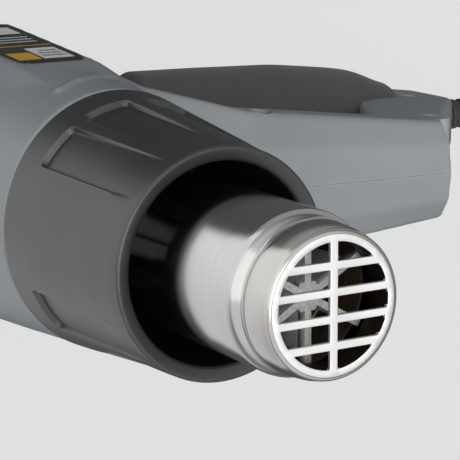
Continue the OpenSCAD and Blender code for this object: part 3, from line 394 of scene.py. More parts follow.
def metal(name, base, rough, line_mm, spread, tint=None, bump=0.1):
    """Noise on (x, y) / 40 mm and z / line_mm changes roughness and tone; tint = (hex, from z, to z,
    most) is mixed in by height, in blots of 12 mm."""
    made, tree = new_material(name)
    where = add(tree, "ShaderNodeTexCoord")
    across = 1 / (LINE_WIDTH_MM * MM)
    lie = add(tree, "ShaderNodeMapping", {
        "Vector": (where, "Object"), "Scale": (across, across, 1 / (line_mm * MM))})
    lines = add(tree, "ShaderNodeTexNoise", {
        "Vector": (lie, "Vector"), "Scale": 1.0, "Detail": 3.0, "Roughness": 0.6})
    tone = ramp(tree, (lines, "Fac"), (0.3, base[0]), (0.7, base[1]))
    colour = (tone, "Color")
    if tint:
        tint_hex, low_z, high_z, most = tint
        broad = add(tree, "ShaderNodeTexNoise", {
            "Vector": (where, "Object"), "Scale": 1 / (BLOT_MM * MM), "Detail": 3.0})
        height = add(tree, "ShaderNodeSeparateXYZ", {"Vector": (where, "Object")})
        share = add(tree, "ShaderNodeMapRange", {
            "Value": (height, "Z"), "From Min": low_z * MM, "From Max": high_z * MM, "To Max": most})
        blot = add(tree, "ShaderNodeMath", {0: (share, "Result"), 1: (broad, "Fac")}, operation="MULTIPLY")
        mix = add(tree, "ShaderNodeMix", {
            0: (blot, "Value"), MIX_A: colour, MIX_B: linear(tint_hex)}, data_type="RGBA")
        colour = (mix, MIX_COLOUR)
    gloss = add(tree, "ShaderNodeMapRange", {
        "Value": (lines, "Fac"), **NOISE, "To Min": rough - spread, "To Max": rough + spread})
    relief = add(tree, "ShaderNodeBump", {
        "Height": (lines, "Fac"), "Strength": bump, "Distance": LINE_DEPTH_MM * MM})
    skin = add(tree, "ShaderNodeBsdfPrincipled", {
        "Base Color": colour, "Roughness": (gloss, "Result"), "Normal": (relief, "Normal"), "Metallic": 1.0})
    add(tree, "ShaderNodeOutputMaterial", {"Surface": (skin, "BSDF")})
    return made


nozzle_steel = metal("polished_stainless_steel", ("#BCBCBB", "#C6C6C5"), 0.17, 0.3, 0.04,
                     tint=("#C9BBA2", 228, 250, 0.3), bump=0.03)
scaled_steel = metal("heat_scaled_stainless_steel", ("#2A211B", "#3D3026"), 0.5, 0.4, 0.1)
grille_steel = metal("stamped_stainless_steel", ("#F2F2F1", "#F8F8F7"), 0.5, 0.4, 0.05, bump=0.05)
motor_steel = metal("zinc_plated_steel", ("#A9ABAD", "#BDBFC0"), 0.36, 0.6, 0.08)
screw_steel = metal("blackened_screw_steel", ("#6E7072", "#85878A"), 0.35, 0.3, 0.06)
wire_metal = metal("oxidised_resistance_wire", ("#6A5F55", "#85786B"), 0.45, 0.3, 0.08)
brass = metal("sintered_bronze", ("#A58349", "#B8955A"), 0.4, 0.3, 0.08)
pin_metal = metal("nickel_plated_brass", ("#C9C5B8", "#D8D4C8"), 0.2, 0.4, 0.04)
print("metals", [m.name for m in (
    nozzle_steel, scaled_steel, grille_steel, motor_steel, screw_steel, wire_metal, brass, pin_metal)])

# %% [markdown]
# ## Ceramic, mica and circuit board
# The heater's star is steatite, pressed and fired: pale grey with a satin face and fine
# specks. Round it sits a tube rolled from mica, brown, layered and a little shiny. The
# board is green lacquer over glass cloth. All three are a speckle over a base colour.

# %% Mineral and board
SPECK_DEPTH_MM = 0.05


def mineral(name, base, speck, speck_mm, rough, ior):
    """Specks: noise of one cell per speck_mm through a narrow ramp; the same noise gives the bump."""
    made, tree = new_material(name)
    where = add(tree, "ShaderNodeTexCoord")
    spots = add(tree, "ShaderNodeTexNoise", {
        "Vector": (where, "Object"), "Scale": 1 / (speck_mm * MM), "Detail": 4.0, "Roughness": 0.65})
    tone = ramp(tree, (spots, "Fac"), (0.35, speck), (0.62, base))
    relief = add(tree, "ShaderNodeBump", {
        "Height": (spots, "Fac"), "Strength": 0.25, "Distance": SPECK_DEPTH_MM * MM})
    skin = add(tree, "ShaderNodeBsdfPrincipled", {
        "Base Color": (tone, "Color"), "Roughness": rough, "Normal": (relief, "Normal"), "IOR": ior})
    add(tree, "ShaderNodeOutputMaterial", {"Surface": (skin, "BSDF")})
    return made


ceramic = mineral("fired_steatite", "#C9C9C6", "#A3A29D", 0.6, 0.42, 1.6)
mica = mineral("rolled_mica", "#4A3524", "#2E2016", 1.2, 0.4, 1.58)
board = mineral("lacquered_glass_cloth", "#2C5A34", "#1F4427", 0.8, 0.35, 1.52)
print("minerals", [m.name for m in (ceramic, mica, board)])

# %% [markdown]
# ## The label
# A printed polyester film on the flat pad. What it says on the real tool isn't copied:
# it carries plain blocks and bars only. The blocks are masks on the film's own UV map:
# a point is in a block when |u - centre| and |v - centre| are both within half its size.

# %% Label print
FILM_BLACK = "#1F1D1A"
# colour, middle u and v, half width, half height
BLOCKS = [
    ("#D9A300", 0.76, 0.85, 0.17, 0.085), ("#DCDCDC", 0.33, 0.80, 0.22, 0.13),
    ("#8B8D8F", 0.33, 0.86, 0.17, 0.014), ("#8B8D8F", 0.33, 0.80, 0.17, 0.014),
    ("#8B8D8F", 0.29, 0.74, 0.13, 0.014), ("#D9A300", 0.5, 0.60, 0.44, 0.008),
    ("#BFC1C2", 0.5, 0.50, 0.36, 0.012), ("#BFC1C2", 0.44, 0.44, 0.30, 0.012),
    ("#BFC1C2", 0.5, 0.38, 0.36, 0.012), ("#DCDCDC", 0.30, 0.2, 0.18, 0.09),
    ("#6E7072", 0.72, 0.2, 0.16, 0.09)]


def label_print():
    """Colour = black, then each block over it: mask = (|u - cu| < hu) (|v - cv| < hv)."""
    made, tree = new_material("printed_polyester_film")
    where = add(tree, "ShaderNodeUVMap", uv_map="film")
    part = add(tree, "ShaderNodeSeparateXYZ", {"Vector": (where, "UV")})
    colour = linear(FILM_BLACK)
    for tone, cu, cv, hu, hv in BLOCKS:
        in_u = add(tree, "ShaderNodeMath", {0: (part, "X"), 1: cu, 2: hu}, operation="COMPARE")
        in_v = add(tree, "ShaderNodeMath", {0: (part, "Y"), 1: cv, 2: hv}, operation="COMPARE")
        both = add(tree, "ShaderNodeMath", {0: (in_u, "Value"), 1: (in_v, "Value")}, operation="MULTIPLY")
        mix = add(tree, "ShaderNodeMix", {0: (both, "Value"), MIX_A: colour, MIX_B: linear(tone)}, data_type="RGBA")
        colour = (mix, MIX_COLOUR)
    body = add(tree, "ShaderNodeTexCoord")
    scuff = add(tree, "ShaderNodeTexNoise", {"Vector": (body, "Object"), "Scale": 1 / (6 * MM), "Detail": 5.0})
    gloss = add(tree, "ShaderNodeMapRange", {
        "Value": (scuff, "Fac"), **NOISE, "To Min": 0.22, "To Max": 0.38})
    skin = add(tree, "ShaderNodeBsdfPrincipled", {
        "Base Color": colour, "Roughness": (gloss, "Result"), "IOR": 1.57})
    add(tree, "ShaderNodeOutputMaterial", {"Surface": (skin, "BSDF")})
    return made


label_film = label_print()
print("label", label_film.name, len(BLOCKS), "blocks")

# %% [markdown]
# ## The housing's outer form
# The real housing is two moulded nylon shells, so its barrel, its label pad, the guard
# in front of the fingers and the handle's foot flow into each other through soft blends.
# Each form is a surface of its own: ovals carried along the nozzle's axis for the barrel
# and across it for the grip, an edged outline carried along the guard, and the hull of a
# six-cornered outline with rounded edges for the foot. A voxel remesh melts them into
# one skin and a few smoothing steps round the joints, which is how a modeller would rub
# putty into them.

# %% Convex hull
def hull(points):
    """The convex hull of points: the smallest shape without dents that holds them all."""
    shape = bmesh.new()
    for p in points:
        shape.verts.new(np.asarray(p, float) * MM)
    found = bmesh.ops.convex_hull(shape, input=shape.verts)
    within = [g for g in found["geom_interior"] if isinstance(g, bmesh.types.BMVert)]
    bmesh.ops.delete(shape, geom=within, context="VERTS")
    shape.verts.index_update()
    p = np.array([v.co[:] for v in shape.verts]) / MM
    f = [[v.index for v in face.verts] for face in shape.faces]
    shape.free()
    return p, f


# %% Barrel, guard, foot and grip core
BARREL_X, BARREL_NARROW = -3.3, 0.935
BARREL_Z = [3, 28.6, 50, 71.5, 93, 114.4, 131.6, 143]
BARREL_R = [35.1, 38.2, 38.92, 39, 38.1, 36.7, 35.3, 34.5]


def barrel(rows=110, columns=144):
    """x = -3.3 + 0.935 r(z) cos u, y = r(z) sin u; r(z) is eased through the barrel's sections, and
    its rear edge is drawn in by half a millimetre."""
    z = np.linspace(3, 143, rows)
    r = eased(z, BARREL_Z, BARREL_R) - 0.5 * (1 - smooth_steps(z, 3, 5))
    u = full_turn(columns)
    x, y = BARREL_X + BARREL_NARROW * r[:, None] * np.cos(u), r[:, None] * np.sin(u)
    return closed_tube(np.stack([x, y, np.repeat(z[:, None], columns, 1)], -1))


GUARD_X = [22, 56, 119.5]
GUARD_H, GUARD_FRONT, GUARD_THICK = [31.6, 22, 14.6], [113, 130.6, 135.6], [23, 19, 17]


def guard(rows=60, columns=96):
    """Sections across X: corner of a crowned outline farthest in direction a + r (cos a, sin a).
    Width, front and thickness run straight between three drops."""
    x = np.linspace(GUARD_X[0], GUARD_X[-1], rows)[:, None]
    h, front, t = (np.interp(x, GUARD_X, values) for values in (GUARD_H, GUARD_FRONT, GUARD_THICK))
    r = 2.6
    y = np.concatenate([0 * x, h / 2, h - 2 * r, h - r, h - r, r - h, r - h, 2 * r - h, -h / 2], 1)
    below = [0 * x, 0.06 * h, 0.2 * h, 0.26 * h, t - 2 * r, t - 2 * r, 0.26 * h, 0.2 * h, 0.06 * h]
    z = front - r - np.concatenate(below, 1)
    a = full_turn(columns)
    best = np.argmax(y[..., None] * np.cos(a) + z[..., None] * np.sin(a), 1)
    y = np.take_along_axis(y, best, 1) + r * np.cos(a)
    z = np.take_along_axis(z, best, 1) + r * np.sin(a)
    return closed_tube(np.stack([np.repeat(-x, columns, 1), y, z], -1))


# x, z and half width of the foot's corners, in order round its outline
FOOT_CORNERS = np.array([
    (-115, 127, 13), (-174, 57, 8.4), (-174, 38, 8.4), (-158, 33, 10.2), (-150, 62, 12.2), (-105.5, 122.6, 13)])


def foot(columns=72):
    """Outline P(a) = corner farthest in direction a + (4 - inset) (cos a, sin a) at
    y = +-(half width); the inset rounds the edge by 2 mm. The hull of it all is the foot."""
    a = full_turn(columns)
    d = np.stack([np.cos(a), np.sin(a)], 1)
    near = FOOT_CORNERS[np.argmax(d @ FOOT_CORNERS[:, :2].T, 1)]
    q = np.array([1, 0.92, 0.7, 0.4, 0])
    edge = np.concatenate([q, q[::-1]])[:, None]
    side = np.repeat([-1, 1], 5)[:, None]
    p = near[None, :, :2] + (4 - 2 * (1 - np.sqrt(1 - edge**2)))[..., None] * d[None]
    return hull(np.stack([p[..., 0], side * (near[:, 2] - 2 + 2 * edge), p[..., 1]], -1).reshape(-1, 3))


COVER = 2.4
GRIP_X = [46, 74.2, 107.4, 130.5, 140.7, 154.8, 174]
GRIP_Z = [64, 60.8, 55.5, 51.3, 49.8, 47.3, 45]
GRIP_H = [27, 26, 24.2, 21.2, 19.5, 14, 11]
GRIP_D = [21.5, 21.1, 20.6, 19.8, 18.9, 17.2, 15]


def grip_ring(x, less, columns=96):
    """Ovals across X: y = (half width - less) cos u, z = centre + (half depth - less) sin u, all
    eased along the drop."""
    u = full_turn(columns)
    centre, half, depth = (eased(x, GRIP_X, values)[:, None] for values in (GRIP_Z, GRIP_H, GRIP_D))
    less = np.broadcast_to(np.asarray(less, float), x.shape)[:, None]
    y, z = (half - less) * np.cos(u), centre + (depth - less) * np.sin(u)
    return np.stack([np.repeat(-x[:, None], columns, 1), y, z], -1)


def grip_core():
    """The grip's rings, drawn in by the soft cover's thickness and kept level inside the barrel."""
    x = np.concatenate([[16, 30], np.linspace(44, 170, 50)])
    return closed_tube(grip_ring(x, COVER))


def bead(points, radius, columns=12):
    """A circle of the radius carried along the smoothed path: ring = P + r (cos a N + sin a B)."""
    p = through(np.asarray(points, float), 5)
    t = np.gradient(p, axis=0)
    t /= np.linalg.norm(t, axis=1, keepdims=True)
    n = np.cross(t, [0, 0, 1.0])
    n /= np.linalg.norm(n, axis=1, keepdims=True)
    b = np.cross(n, t)
    a = full_turn(columns)[None, :, None]
    return closed_tube(p[:, None] + radius * (np.cos(a) * n[:, None] + np.sin(a) * b[:, None]))


# the raised arc round the front of the label's pad
rib_line = [(7.6, -33.4, 131.4), (5.6, -33.7, 130.7), (2.5, -34.5, 129.4), (-1, -35.1, 128.3),
            (-6.6, -35.2, 125.9), (-13.2, -34.5, 122.6), (-18.5, -32.6, 120.6), (-23.5, -30.2, 119.5),
            (-30, -27, 119)]
print("rib", len(rib_line), "points")

# %% [markdown]
# The label pad has flat faces that meet at free angles: a plane for the label and four
# slopes that run out on the barrel. The convex hull of its corner points is exactly that.

# %% Label pad
def pad_top(z):
    """The pad's plane: y = -37.6 - 0.0895 (106 - z)."""
    return -37.6 - 0.0895 * (106 - z)


top = [(x, pad_top(z) + dy, z) for x in (-16.6, 7.4) for z in (50.7, 107.5) for dy in (0, 2)]
foot_line = [(x, -28.7, z) for x in (-26, 16.8) for z in (25, 120)]
front_edge = [(x, -33.6, 129.8) for x in (-15.1, 5.9)]
under = [(x, -24.0, z) for x in (-22, 12.8) for z in (30, 118)]
pad = hull(top + foot_line + front_edge + under)
print("pad corners", len(pad[0]))

# %% Dress a piece
def dress(made, material, body, slot, *nodes):
    """One material on every face, the body that the piece rides on, a slot that is not used, and the CAD nodes it
    stands for.
    """
    made.data.materials.clear()
    made.data.materials.append(material)
    made.data.polygons.foreach_set("material_index", np.zeros(len(made.data.polygons), dtype=int))
    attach(made, body)
    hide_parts(*nodes)
    print(made.name, len(made.data.polygons), "faces")


# %% Melt the outer form
skin = joined("housing_skin", [barrel(), guard(), foot(), grip_core(), pad, bead(rib_line, 1.25)])
with_modifiers(skin, ("REMESH", {"mode": "VOXEL", "voxel_size": 0.8 * MM, "use_smooth_shade": True}),
               ("SMOOTH", {"factor": 0.5, "iterations": 6}))
print("skin", len(skin.data.polygons), "faces")

# %% [markdown]
# ## Two shells from one form
# The mould parts on the plane Y = 0, so each shell is the outer form on its side of that
# plane, less 0.06 mm for the parting line. Then the hollow barrel, the screw wells, the
# cord's hole and the switch's window are cut, as a mould's cores would leave them.

# %% Cutting tools
def lathe(profile, columns=96, axis="Z", at=(0, 0, 0)):
    """A profile (r, h) turned round an axis, closed at both ends in the middle."""
    r, h = np.asarray(profile, float).T
    ring = turned(r, h, full_turn(columns))
    ring = {"Z": ring, "Y": ring[..., [0, 2, 1]], "X": ring[..., [2, 0, 1]]}[axis]
    return closed_tube(ring + np.asarray(at, float))


def rod(radius, start, end, axis, at, columns=40):
    """A round bar from start to end along an axis."""
    return lathe([(radius, start), (radius, end)], columns, axis, at)


def slab(low, high):
    """A box between two corners, as six squares."""
    x, y, z = zip(low, high)
    corners = [(x[a], y[b], z[c]) for a in (0, 1) for b in (0, 1) for c in (0, 1)]
    return corners, [(0, 1, 3, 2), (4, 6, 7, 5), (0, 4, 5, 1), (2, 3, 7, 6), (0, 2, 6, 4), (1, 5, 7, 3)]


def half_room(side, gap):
    """All the room on one side of the parting plane, from a gap outwards."""
    return slab((-200, gap if side > 0 else -60, -5), (60, 60 if side > 0 else -gap, 160))


def tool(parts):
    """One cutting tool."""
    return mesh_object("tool", *parts)


# %% Cut the shells
PARTING, BOSS_R, PILOT_R, HEAD_R, SEAT_R = 0.06, 5.3, 1.8, 3.45, 27.05
BORE = [(29.8, 128.7), (31.98, 103), (33.54, 71.5), (33.7, 50), (32.96, 25.7), (30.8, 10), (30.8, -1)]
# x and z of each screw, and how far its boss reaches from the parting plane
SCREWS = [(-135.5, 104, 11), (-62, 121, 10), (-163, 55, 7.8), (-128, 55, 15.5), (24, 50, 14.8)]
SCREW_IN_GRIP = (-128, 55)
# radius, start and end along X of the cord's passage, the relief's collar and its mouth
CORD_Z, CORD_HOLES = 45, [(3.6, -174, -108), (6.7, -174.1, -169.9), (5.1, -190, -173)]
SHELL_WINDOW, COVER_WINDOW = ((-82.5, -5, 0), (-61.5, 5, 49.8)), ((-83, -5.5, 0), (-61, 5.5, 52))


def shell(name, side):
    """Outer form on one side, less the bore, plus screw bosses, less the holes."""
    made = mesh_object(name, read(skin.data.vertices, "co") / MM, [list(p.vertices) for p in skin.data.polygons])
    cut(made, tool(half_room(side, PARTING)), "INTERSECT")
    cut(made, tool(lathe(BORE, at=(BARREL_X, 0, 0))))
    cut(made, tool(rod(SEAT_R, 20, 150, "Z", (0, 0, 0), 96)))
    for x, z, reach in SCREWS:
        boss = (PARTING, reach) if side > 0 else (-reach, -PARTING)
        pilot = (-1, 9.05) if side > 0 else (-8, 1)
        cut(made, tool(rod(BOSS_R, *boss, "Y", (x, 0, z))), "UNION")
        cut(made, tool(rod(PILOT_R, *pilot, "Y", (x, 0, z))))
        if side < 0 and (x, z) != SCREW_IN_GRIP:
            cut(made, tool(rod(HEAD_R, -60, -6, "Y", (x, 0, z))))
    for radius, start, end in CORD_HOLES:
        cut(made, tool(rod(radius, start, end, "X", (0, 0, CORD_Z))))
    cut(made, tool(slab(*SHELL_WINDOW)))
    made.data.set_sharp_from_angle(angle=np.radians(38))
    return made


label_shell = shell("housing_shell_label_side", -1)
plain_shell = shell("housing_shell_plain_side", 1)
bpy.data.objects.remove(skin)
for made, node in ((label_shell, "housing_label_side"), (plain_shell, "housing_plain_side")):
    dress(made, grey_nylon, "housing", "grey_plastic", node)

# %% [markdown]
# ## The soft grip
# Two covers of elastomer, moulded over the nylon and 2.4 mm thick, meet on the parting
# line. Their upper edge ends in a rounded lip. One closed ring makes both: the outside
# follows the hand's oval, the inside runs 2.4 mm deeper, and the lip is a quarter circle
# of the thickness, sqrt(1 - q^2), before the ring is parted at Y = 0.

# %% Grip covers
def grip_cover():
    """Rings out along the outside from drop 154.8 to 50 and back along the inside; the depth under
    the outside is 2.4 (1 - sqrt(1 - q^2)) at the lip."""
    lip = 50 + COVER * (1 - np.sin(np.linspace(0.1, np.pi / 2, 8)))
    x_out = np.concatenate([np.linspace(154.8, 53, 60), lip])
    q = np.clip((50 + COVER - x_out) / COVER, 0, 1)
    x_in = np.linspace(50, 154.8, 20)
    return closed_ring(np.concatenate([
        grip_ring(x_out, COVER * (1 - np.sqrt(1 - q**2))), grip_ring(x_in, COVER + 0.02)[1:]]))


for name, side, node in (("grip_cover_label_side", -1, "grip_label_side"),
                         ("grip_cover_plain_side", 1, "grip_plain_side")):
    made = mesh_object(name, *grip_cover())
    cut(made, tool(half_room(side, 0.08)), "INTERSECT")
    cut(made, tool(slab(*COVER_WINDOW)))
    made.data.set_sharp_from_angle(angle=np.radians(40))
    dress(made, soft_rubber, "housing", "soft_grip", node)

# %% [markdown]
# ## The guard sleeve
# A black nylon sleeve, oval where it meets the housing and round at its rim, which a
# short turn frees. Six shallow pockets give the fingers a hold: each has a curved floor
# that runs along under the surface, 1.5 mm deep at the rear wall, and fades out towards
# the rim. The columns of the grid lie on the pockets' side walls in every row, so the
# walls come out crisp.

# %% Sleeve surface
REAR_Z, MOUTH_Z, REAR_HALF_X, REAR_HALF_Y, MOUTH_R = 143.4, 200.7, 32.8, 34.6, 28.8
POCKETS = np.radians([-110.5, -80.5, -50.5, 37.5, 67.5, 97.5])
# how far from a pocket's middle line the grid's columns run
HALF = np.array([0.8, 2.6, 4.4, 5.2, 5.7, 6.1, 6.3, 6.5])
ACROSS = np.concatenate([-HALF[::-1], HALF])
# half width and rear end of a pocket's floor before its wall rises, the oval's draw for the
# floor, and the sleeve's radius about halfway along
FLOOR_HALF, FLOOR_Z, FLOOR_LESS, MEAN_R = 5, 155.8, 1.9, 31


def sleeve_oval(angle, z, less=0.0):
    """Straight from the rear oval, half 32.8 by 34.6 about x = -3.3 and drawn in by less, to the
    front circle of radius 28.8."""
    t = (z - REAR_Z) / (MOUTH_Z - REAR_Z)
    half_x = (REAR_HALF_X - 0.948 * less) * (1 - t) + MOUTH_R * t
    half_y = (REAR_HALF_Y - less) * (1 - t) + MOUTH_R * t
    return BARREL_X * (1 - t) + half_x * np.cos(angle), half_y * np.sin(angle)


def sleeve_angles(z):
    """Per row: for each pocket the angles whose distance from its middle line is ACROSS, by
    Newton's steps, and even angles between pockets."""
    z = z[:, None, None]
    mid, offset = POCKETS[None, :, None], ACROSS[None, None, :]
    a = np.repeat(mid + offset / MEAN_R, len(z), 0)
    step = 1e-4
    for _ in range(8):
        x, y = sleeve_oval(a, z)
        x2, y2 = sleeve_oval(a + step, z)
        miss = -np.sin(mid) * x + np.cos(mid) * y - offset
        slope = (-np.sin(mid) * (x2 - x) + np.cos(mid) * (y2 - y)) / step
        a = a - miss / slope
    parts = []
    last = len(POCKETS) - 1
    for k in range(last + 1):
        parts.append(a[:, k])
        following = a[:, 0, 0] + 2 * np.pi if k == last else a[:, k + 1, 0]
        count = 24 if following.mean() - a[:, k, -1].mean() > 1 else 3
        share = np.linspace(0, 1, count + 2)[1:-1]
        parts.append(a[:, k, -1:] + (following[:, None] - a[:, k, -1:]) * share)
    return np.concatenate(parts, 1)


def sleeve():
    """Outside rows whose pockets sink towards the drawn-in oval by smooth(1.5 - distance to the
    floor's outline), then the rim, the chamfer and the inside."""
    z = np.concatenate([
        [143.5, 143.62, 144.1], np.linspace(144.8, 154.3, 8), [154.45, 154.6, 154.8, 155.1, 155.5],
        np.linspace(156, 194.3, 39), np.linspace(195, 200.7, 6)])
    angle = sleeve_angles(z)
    x, y = sleeve_oval(angle, z[:, None])
    pull = np.interp(z, [143.5, 143.62, 144.1], [0.6, 0.25, 0])[:, None]
    x, y = x - pull * np.cos(angle), y - pull * np.sin(angle)
    floor_x, floor_y = sleeve_oval(angle, z[:, None], FLOOR_LESS)
    sunk = 0
    for mid in POCKETS:
        away, side = x * np.cos(mid) + y * np.sin(mid), -x * np.sin(mid) + y * np.cos(mid)
        past = np.hypot(np.maximum(np.abs(side) - FLOOR_HALF, 0), np.maximum(FLOOR_Z - z, 0)[:, None])
        sunk = sunk + (away > 0) * smooth_steps(1.5 - past, 0, 0.5)
    x, y = x + sunk * (floor_x - x), y + sunk * (floor_y - y)
    outside = np.stack([x, y, np.repeat(z[:, None], x.shape[1], 1)], -1)
    arc = np.linspace(0, np.pi / 2, 7)
    rim = [(28.7, 202)] + [(27.9 + 0.8 * np.cos(t), 202.7 + 0.8 * np.sin(t)) for t in arc]
    r, h = np.array(rim + [
        (27.7, 203.46), (25.5, 202.7), (25.36, 202.62), (24.95, 202.2), (24.9, 202), (24.9, 201.5),
        (25.9, 199.3), (26, 149.5), (27.05, 149.5), (27.05, 143.5)]).T
    return closed_ring(np.concatenate([outside, turned(r, h, angle[-1])]))


guard_sleeve = mesh_object("guard_sleeve_shell", *sleeve(), smooth_angle=30)
dress(guard_sleeve, black_nylon, "sleeve", "black_plastic", "guard_sleeve")

# %% [markdown]
# ## The nozzle
# A drawn steel tube: plain where attachments push on, a soft shoulder down to a groove,
# a band that swells a little, and a front edge rolled inwards round the grille. One
# profile turned round the axis, out along the outside and back along the inside, makes
# the tube with its real 0.8 mm wall. Faces that look at the axis get the burnt finish.

# %% Nozzle tube
def nozzle(columns=160):
    """Closed profile (r, z) turned round Z, from the rolled lip."""
    roll = np.linspace(0, np.pi / 2, 7)
    lip = [(16.1 + 0.9 * np.sin(t), 249.1 + 0.9 * np.cos(t)) for t in roll]
    band = [(17.2, 248.2), (17.45, 247.2), (17.68, 245), (17.84, 243.2), (17.9, 242.2), (17.86, 241.8)]
    groove = [(17.66, 241.2), (17.4, 240.6), (17.24, 240.1), (17.26, 239.7), (17.55, 239.2), (18.1, 238.6)]
    shoulder = [(18.6, 238.0), (19.0, 237.2), (19.22, 236.5), (19.3, 235.8)]
    plain = [(19.3, 228), (19.3, 216), (19.3, 203.5), (18.8, 203), (18.8, 160), (18.8, 121)]
    inside = [(18, 121), (18, 160), (18, 203), (18.5, 203.5), (18.5, 236), (17.8, 238.1), (16.4, 239.9),
              (17.1, 242), (16.65, 247.2), (16.2, 249.1)]
    r, h = np.array(lip + band + groove + shoulder + plain + inside).T
    return closed_ring(turned(r, h, full_turn(columns)))


tube = mesh_object("nozzle_steel_tube", *nozzle(), smooth_angle=50)
dress(tube, nozzle_steel, "housing", "nozzle_steel", "nozzle_tube")


def scale_inside(mesh, below):
    """The burnt finish on faces under a height that look at the tool's axis: normal . (x, y) < -0.3 r."""
    mesh.materials.append(scaled_steel)
    middle, normal = read(mesh.polygons, "center"), read(mesh.polygons, "normal")
    inside = ((middle * normal)[:, :2].sum(1) < -0.3 * np.hypot(*middle.T[:2])) & (middle[:, 2] < below * MM)
    mesh.polygons.foreach_set("material_index", inside.astype(int))
    print("heat-scaled faces", int(inside.sum()))


TIP_Z, GRILLE_BACK_Z = 250, 248.2
scale_inside(tube.data, TIP_Z)

# %% [markdown]
# ## The label film
# A 0.4 mm film with rounded corners on the pad. A superellipse with a high power is a
# rectangle with soft corners; rings of it, smaller and smaller, make the flat face, and
# the outermost ring steps down for the edge. Its UV map runs over width and length.

# %% Label film
FILM_X, FILM_Z, FILM_HALF_X, FILM_HALF_Z = -4.6, 79.1, 10.5, 27


def film():
    """|X / 10.5|^10 + |Z / 27|^10 = 1 scaled by share, on the pad's plane, 0.38 mm out, with a
    bevelled edge."""
    a = full_turn(96)
    c, s = np.cos(a), np.sin(a)
    k = (np.abs(c) ** 10 + np.abs(s) ** 10) ** -0.1
    share = np.array([1, 1, 0.988, 0.9, 0.7, 0.5, 0.25, 0.02])[:, None]
    out = np.array([-0.1, 0.25, 0.36, 0.38, 0.38, 0.38, 0.38, 0.38])[:, None]
    x = FILM_X + share * (FILM_HALF_X * k * c)
    z = FILM_Z + share * (FILM_HALF_Z * k * s)
    return closed_tube(np.stack([x, pad_top(z) - out, z], -1))


label = mesh_object("label_film", *film(), smooth_angle=60)
uv = label.data.uv_layers.new(name="film")
spots = read(label.data.loops, "vertex_index", 1, int)[:, 0]
co = read(label.data.vertices, "co")[spots] / MM
u = (co[:, 0] - FILM_X + FILM_HALF_X) / (2 * FILM_HALF_X)
v = (co[:, 2] - FILM_Z + FILM_HALF_Z) / (2 * FILM_HALF_Z)
uv.data.foreach_set("uv", np.stack([u, v], 1).ravel())
dress(label, label_film, "housing", "label", "label_plate")

# %% [markdown]
# ## Nodes that keep their own shape
# The grille, the ceramic star, the motor and the small parts are right as they are. Each
# gets its finish, and a hair of a rounded edge: a weld joins the loose triangles and a
# bevel rounds every edge sharper than 40 degrees, because no real edge is perfectly
# sharp and the light shows it. The grille's skirt, which stands in the hot air behind
# its bars, is burnt like the nozzle's inside.

# %% Finish the carried-over nodes
WELD_MM = 0.002
# node: its finish, and the width of its rounded edges in millimetres
finishes = {
    "outlet_grille": (grille_steel, 0.22), "nozzle_flange": (motor_steel, 0.2), "element_star": (ceramic, 0.25),
    "element_core": (ceramic, 0.2), "element_root": (ceramic, 0.3), "heating_coil": (wire_metal, 0),
    "mica_sleeve": (mica, 0.1), "thermal_cutout": (motor_steel, 0.3), "sleeve_carrier": (black_nylon, 0.2),
    "rear_cap": (dark_nylon, 0.4), "motor_can": (motor_steel, 0.3), "motor_end_bell": (black_nylon, 0.3),
    "motor_bushes": (brass, 0.2), "motor_shaft": (motor_steel, 0.2), "fan": (dark_nylon, 0.2),
    "motor_mount": (dark_nylon, 0.25), "rectifier_board": (board, 0.15), "switch_body": (black_nylon, 0.3),
    "switch_slider": (black_nylon, 0.35), "housing_screws": (screw_steel, 0.15),
    "terminal_block": (pale_nylon, 0.3), "internal_leads": (lead_plastic, 0), "cord_clamp": (black_nylon, 0.3),
    "clamp_screws": (screw_steel, 0.15), "strain_relief": (cord_rubber, 0.25), "plug_body": (cord_rubber, 0.6),
    "plug_pins": (pin_metal, 0.3)}
for name, (finish, edge) in finishes.items():
    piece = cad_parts[name]
    mesh = piece.data
    mesh.materials.clear()
    mesh.materials.append(finish)
    mesh.polygons.foreach_set("material_index", np.zeros(len(mesh.polygons), dtype=int))
    mesh.polygons.foreach_set("use_smooth", np.ones(len(mesh.polygons), dtype=bool))
    weld = piece.modifiers.new("weld", "WELD")
    weld.merge_threshold = WELD_MM * MM
    if edge:
        bevel = piece.modifiers.new("edge", "BEVEL")
        bevel.width, bevel.segments, bevel.harden_normals = edge * MM, 2, True
        bevel.limit_method, bevel.angle_limit = "ANGLE", np.radians(40)
scale_inside(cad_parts["outlet_grille"].data, GRILLE_BACK_Z)
print("finished", len(finishes), "nodes")

# %% [markdown]
# ## Floor and light
# A pale floor carries the tool. It is lit like the object, and what the camera sees of
# it is mostly an even pale grey, so that only a soft shadow stays. Mirrors see a dark
# floor on the handle's side, a bright field past the axis towards +X that fades towards
# +Y, and a paler one far out: max(near(x + y / 4), far(distance)) * slant(y).
#
# The light comes mostly from a diffuse sky that is brightest overhead, so it models the
# forms without hard highlights; mirrors see it grey, and darker low down and over the
# handle. A weak, wide key lamp from above and a wider side lamp add the soft shadow and
# the lighter left flanks.

# %% Floor
def seen_directly(tree):
    """The light path node, and a node that is 1 for rays from the camera, a mirror or glass."""
    rays = add(tree, "ShaderNodeLightPath")
    either = add(tree, "ShaderNodeMath", {
        0: (rays, "Is Camera Ray"), 1: (rays, "Is Glossy Ray")}, operation="MAXIMUM")
    return rays, add(tree, "ShaderNodeMath", {
        0: (either, "Value"), 1: (rays, "Is Transmission Ray")}, operation="MAXIMUM")


